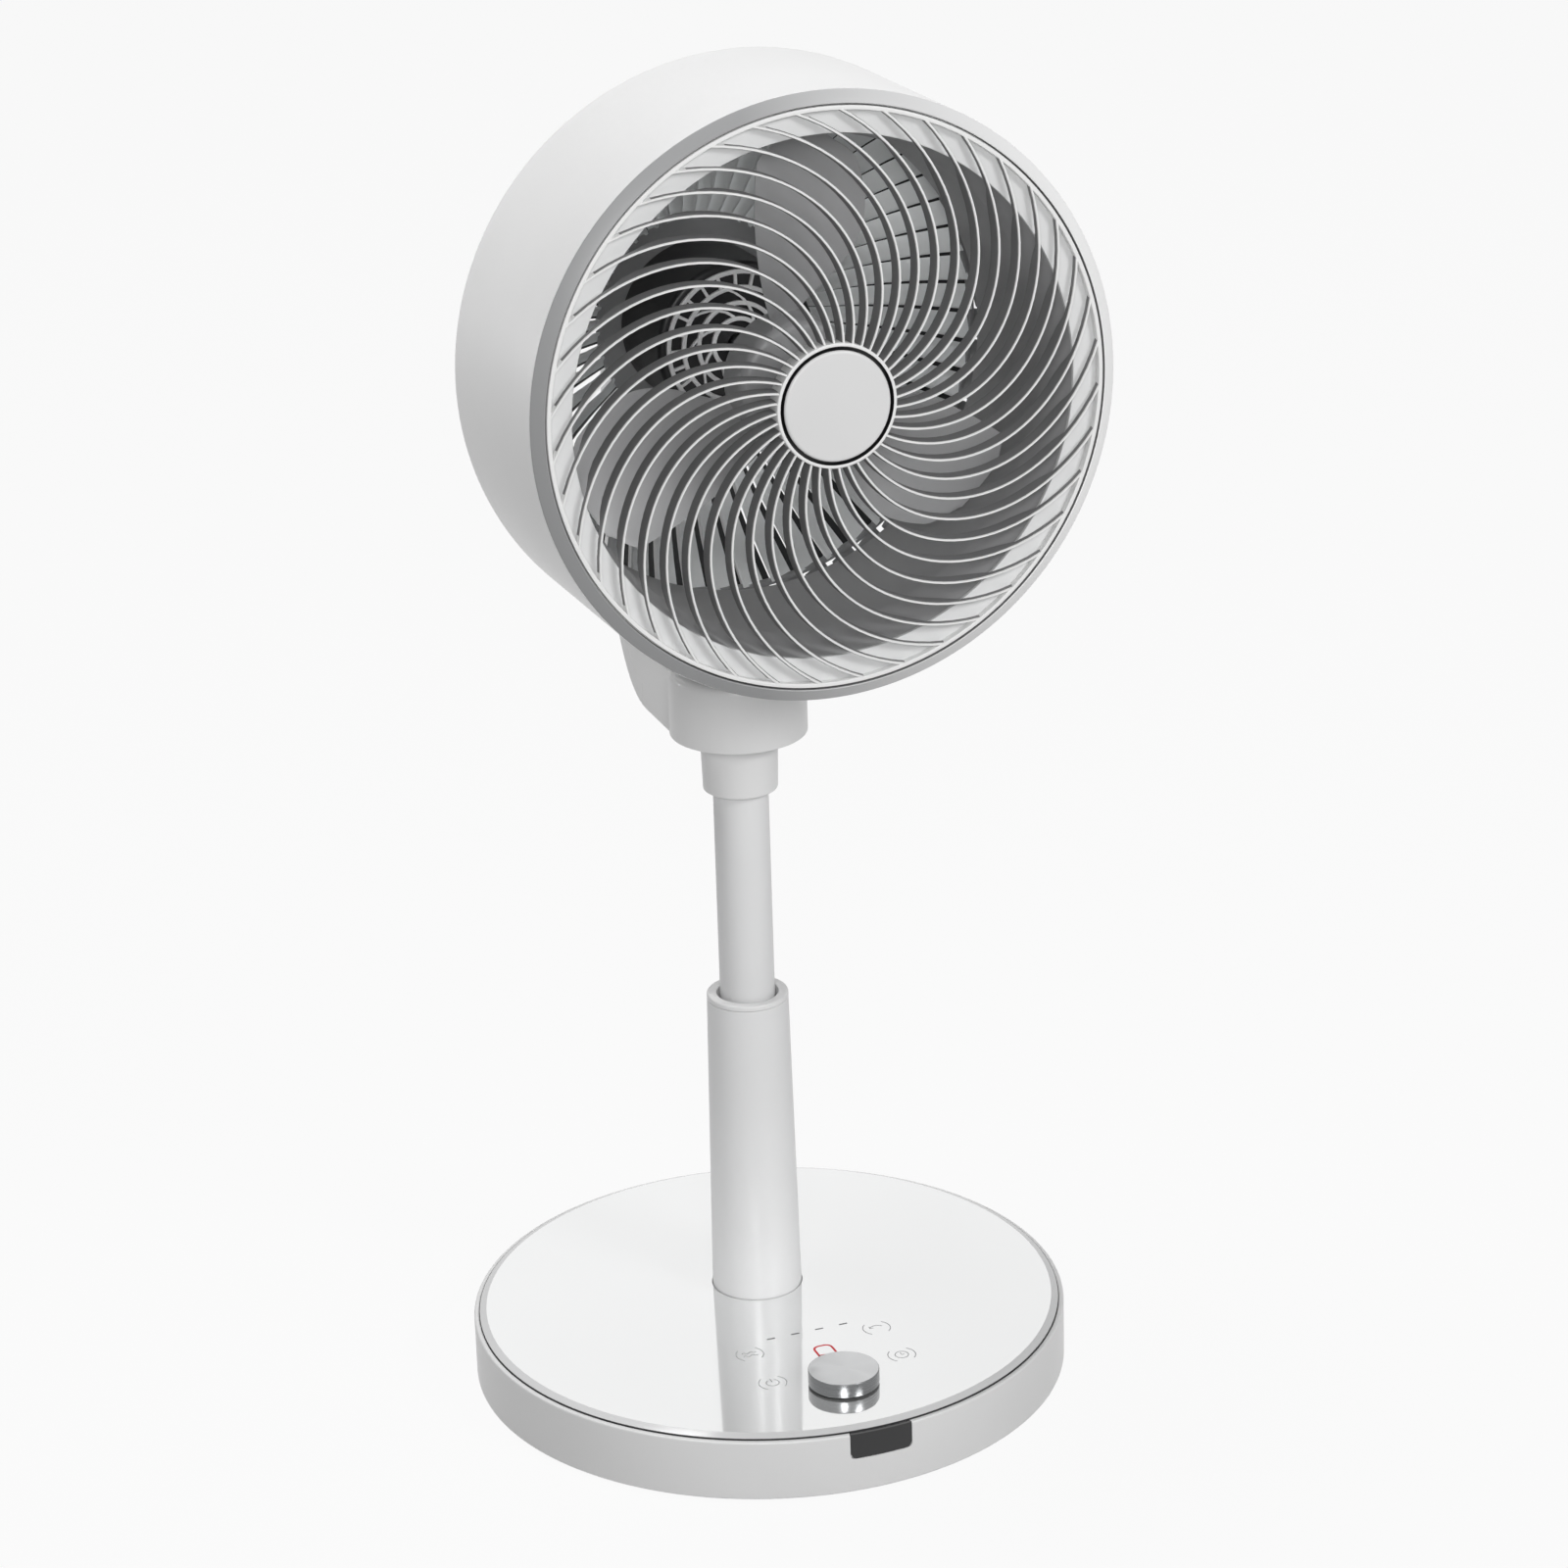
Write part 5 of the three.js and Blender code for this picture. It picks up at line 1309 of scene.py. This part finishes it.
def vent_bar(start, end, turn, bend, width=1.5):
    """A bar from one ring to another whose far end lies bend degrees further round."""
    sections = []
    for k in range(7):
        share = k / 6
        radius = start + (end - start) * share
        angle = math.radians(turn + bend * share)
        out = Vector((math.cos(angle), math.sin(angle)))
        side = Vector((-out.y, out.x)) * (width / 2)
        left, right = out * radius + side, out * radius - side
        sections.append([on_head(*left, VENT_FRONT), on_head(*right, VENT_FRONT),
                         on_head(*right, VENT_BACK), on_head(*left, VENT_BACK)])
    return loft_data(sections)


vent = [band_data(r - 1.1, r + 1.1, 126.2, 128.0, 0.3, 96) for r in (13, 21, 29, 37)]
vent += [vent_bar(12, 29, 45 * k, 55, 1.9) for k in range(8)]
vent += [vent_bar(29, 37, 15 * k, 0) for k in range(24)]
dress(new_piece("motor_vent", *together(vent)), vent_white, "head", "grille_white")
rear_corners = [
    (0, 208.4), (50, 208.4, 10), (50, 188.3, 0.4), (47.6, 188.3), (47.6, 205, 8), (0, 205),
]
rear_cap = lathe("rear_cap_v", rear_corners, on_head, 160, 8)
dress(rear_cap, white, "head", "white_plastic", "rear_cap")

# %% [markdown]
# ## What stays as CAD
# The inner pieces are hidden by the shells, and their solids already have the right shape. They
# only get a finish of their own.

# %% Finishes of the carried-over nodes
inner_finishes = {
    iron: ("ballast_ring", "motor_rotor", "swing_motor", "tilt_motor"),
    board_green: ("touch_board", "power_board"),
    black: ("display_module", "encoder_body"),
    zinc: ("column_flange",),
    windings: ("motor_stator",),
    slippery: ("guide_bush", "slide_shoe", "slip_washer", "swing_gear", "swing_pinion",
               "tilt_bush"),
}
for finish, names in inner_finishes.items():
    for name in names:
        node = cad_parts[name]
        node.data.materials.clear()
        node.data.materials.append(finish)
print(sum(len(names) for names in inner_finishes.values()), "inner nodes finished")

# %% [markdown]
# ## The room
# A pale floor, a white surround and soft lamps. The camera sees the surround and the floor as
# white, and so do gloss and glass, but the light that falls on the fan comes from a plain dim
# surround and four lamps: one above, a narrow one on the head from behind on the left, and two in
# front. The floor's own colour is a mid grey, so it keeps the fan's shadow and throws little light
# back up.

# %% World
SURROUND_LIGHT = 0.12


def seen_plainly(tree):
    """One for the rays of the camera, of gloss and of glass, and zero for the light itself."""
    paths = tree.nodes.new("ShaderNodeLightPath")
    total = paths.outputs["Is Camera Ray"]
    for name in ("Is Glossy Ray", "Is Transmission Ray"):
        node = tree.nodes.new("ShaderNodeMath")
        node.operation = "MAXIMUM"
        tree.links.new(total, node.inputs[0])
        tree.links.new(paths.outputs[name], node.inputs[1])
        total = node.outputs[0]
    return total


world = bpy.data.worlds.new("surround")
bpy.context.scene.world = world
world.use_nodes = True
tree = world.node_tree
background = tree.nodes["Background"]
background.inputs["Color"].default_value = (1, 1, 1, 1)
level = tree.nodes.new("ShaderNodeMapRange")
level.inputs["To Min"].default_value = SURROUND_LIGHT
level.inputs["To Max"].default_value = 1.0
tree.links.new(seen_plainly(tree), level.inputs["Value"])
tree.links.new(level.outputs["Result"], background.inputs["Strength"])
print("surround lights the fan at", SURROUND_LIGHT, "and looks white")

# %% Floor
FLOOR_HALF = 4000
FLOOR_TONE = 0.5
FLOOR_GLOW = 0.93
floor_corners = [(x * FLOOR_HALF, y * FLOOR_HALF, 0)
                 for x, y in ((-1, -1), (1, -1), (1, 1), (-1, 1))]
floor = new_piece("floor", floor_corners, [[0, 1, 2, 3]])
floor_finish, tree, shader = new_finish("pale_floor")
shader.inputs["Base Color"].default_value = (FLOOR_TONE, FLOOR_TONE, FLOOR_TONE, 1)
shader.inputs["Roughness"].default_value = 0.9
shader.inputs["Specular IOR Level"].default_value = 0.0
glow = tree.nodes.new("ShaderNodeEmission")
blend = tree.nodes.new("ShaderNodeMixShader")
share = tree.nodes.new("ShaderNodeMath")
share.operation = "MULTIPLY"
share.inputs[1].default_value = FLOOR_GLOW
tree.links.new(seen_plainly(tree), share.inputs[0])
tree.links.new(share.outputs[0], blend.inputs["Fac"])
tree.links.new(shader.outputs["BSDF"], blend.inputs[1])
tree.links.new(glow.outputs["Emission"], blend.inputs[2])
tree.links.new(blend.outputs["Shader"], tree.nodes["Material Output"].inputs["Surface"])
floor.data.materials.append(floor_finish)
print("floor of", round(2 * FLOOR_HALF * MM), "m made")


# %% Lamps
def lamp(name, place, aim, power, size, beam=180):
    light = bpy.data.lights.new(name, "AREA")
    light.energy = power
    light.shape = "DISK"
    light.size = size
    light.spread = math.radians(beam)
    holder = bpy.data.objects.new(name, light)
    holder.location = place
    holder.rotation_euler = (Vector(aim) - Vector(place)).to_track_quat("-Z", "Y").to_euler()
    holder.visible_camera = False
    bpy.context.scene.collection.objects.link(holder)


lamp("left_back_lamp", (-0.95, 0.8, 0.62), (-0.1, 0.1, 0.68), 0.08, 0.1, 34)
lamp("top_lamp", (-0.5, 0.4, 2.8), (0, 0, 0.4), 32, 1.2)
lamp("front_lamp", (-0.95, -2.6, 1.55), (0, 0, 0.45), 33, 0.9)
lamp("right_lamp", (1.3, -2.4, 2.1), (0, 0, 0.35), 37, 1.0)
print("four lamps")

# %% [markdown]
# ## The camera
# The view was found by fitting the ellipses of the base, the column and the front ring in the
# photo: a long lens, about 22 degrees down, 20 degrees to the fan's right side, slightly rolled.

# %% Camera
CAMERA_PLACE = Vector((-0.7935, -2.1791, 1.2513))
CAMERA_PITCH = math.radians(21.587)
CAMERA_TURN = math.radians(20.42)
CAMERA_ROLL = math.radians(1.728)
FOCAL_LENGTH = 109.98
forward = Vector((
    math.sin(CAMERA_TURN) * math.cos(CAMERA_PITCH),
    math.cos(CAMERA_TURN) * math.cos(CAMERA_PITCH),
    -math.sin(CAMERA_PITCH),
))
right = forward.cross(Vector((0, 0, 1))).normalized()
up = right.cross(forward)
lens = bpy.data.cameras.new("photo_camera")
lens.sensor_fit = "HORIZONTAL"
lens.sensor_width = 36
lens.lens = FOCAL_LENGTH
lens.clip_end = 50
camera = bpy.data.objects.new("photo_camera", lens)
turn = Matrix((right, up, -forward)).transposed().to_4x4() @ Matrix.Rotation(-CAMERA_ROLL, 4, "Z")
camera.matrix_world = Matrix.Translation(CAMERA_PLACE) @ turn
bpy.context.scene.collection.objects.link(camera)
bpy.context.scene.camera = camera
bpy.context.scene.view_settings.view_transform = "Standard"
print("camera at", [round(c, 3) for c in camera.location])

# %% [markdown]
# ## The size
# The dressed model has to stay inside the CAD model's box.

# %% Finish
print("scene built")
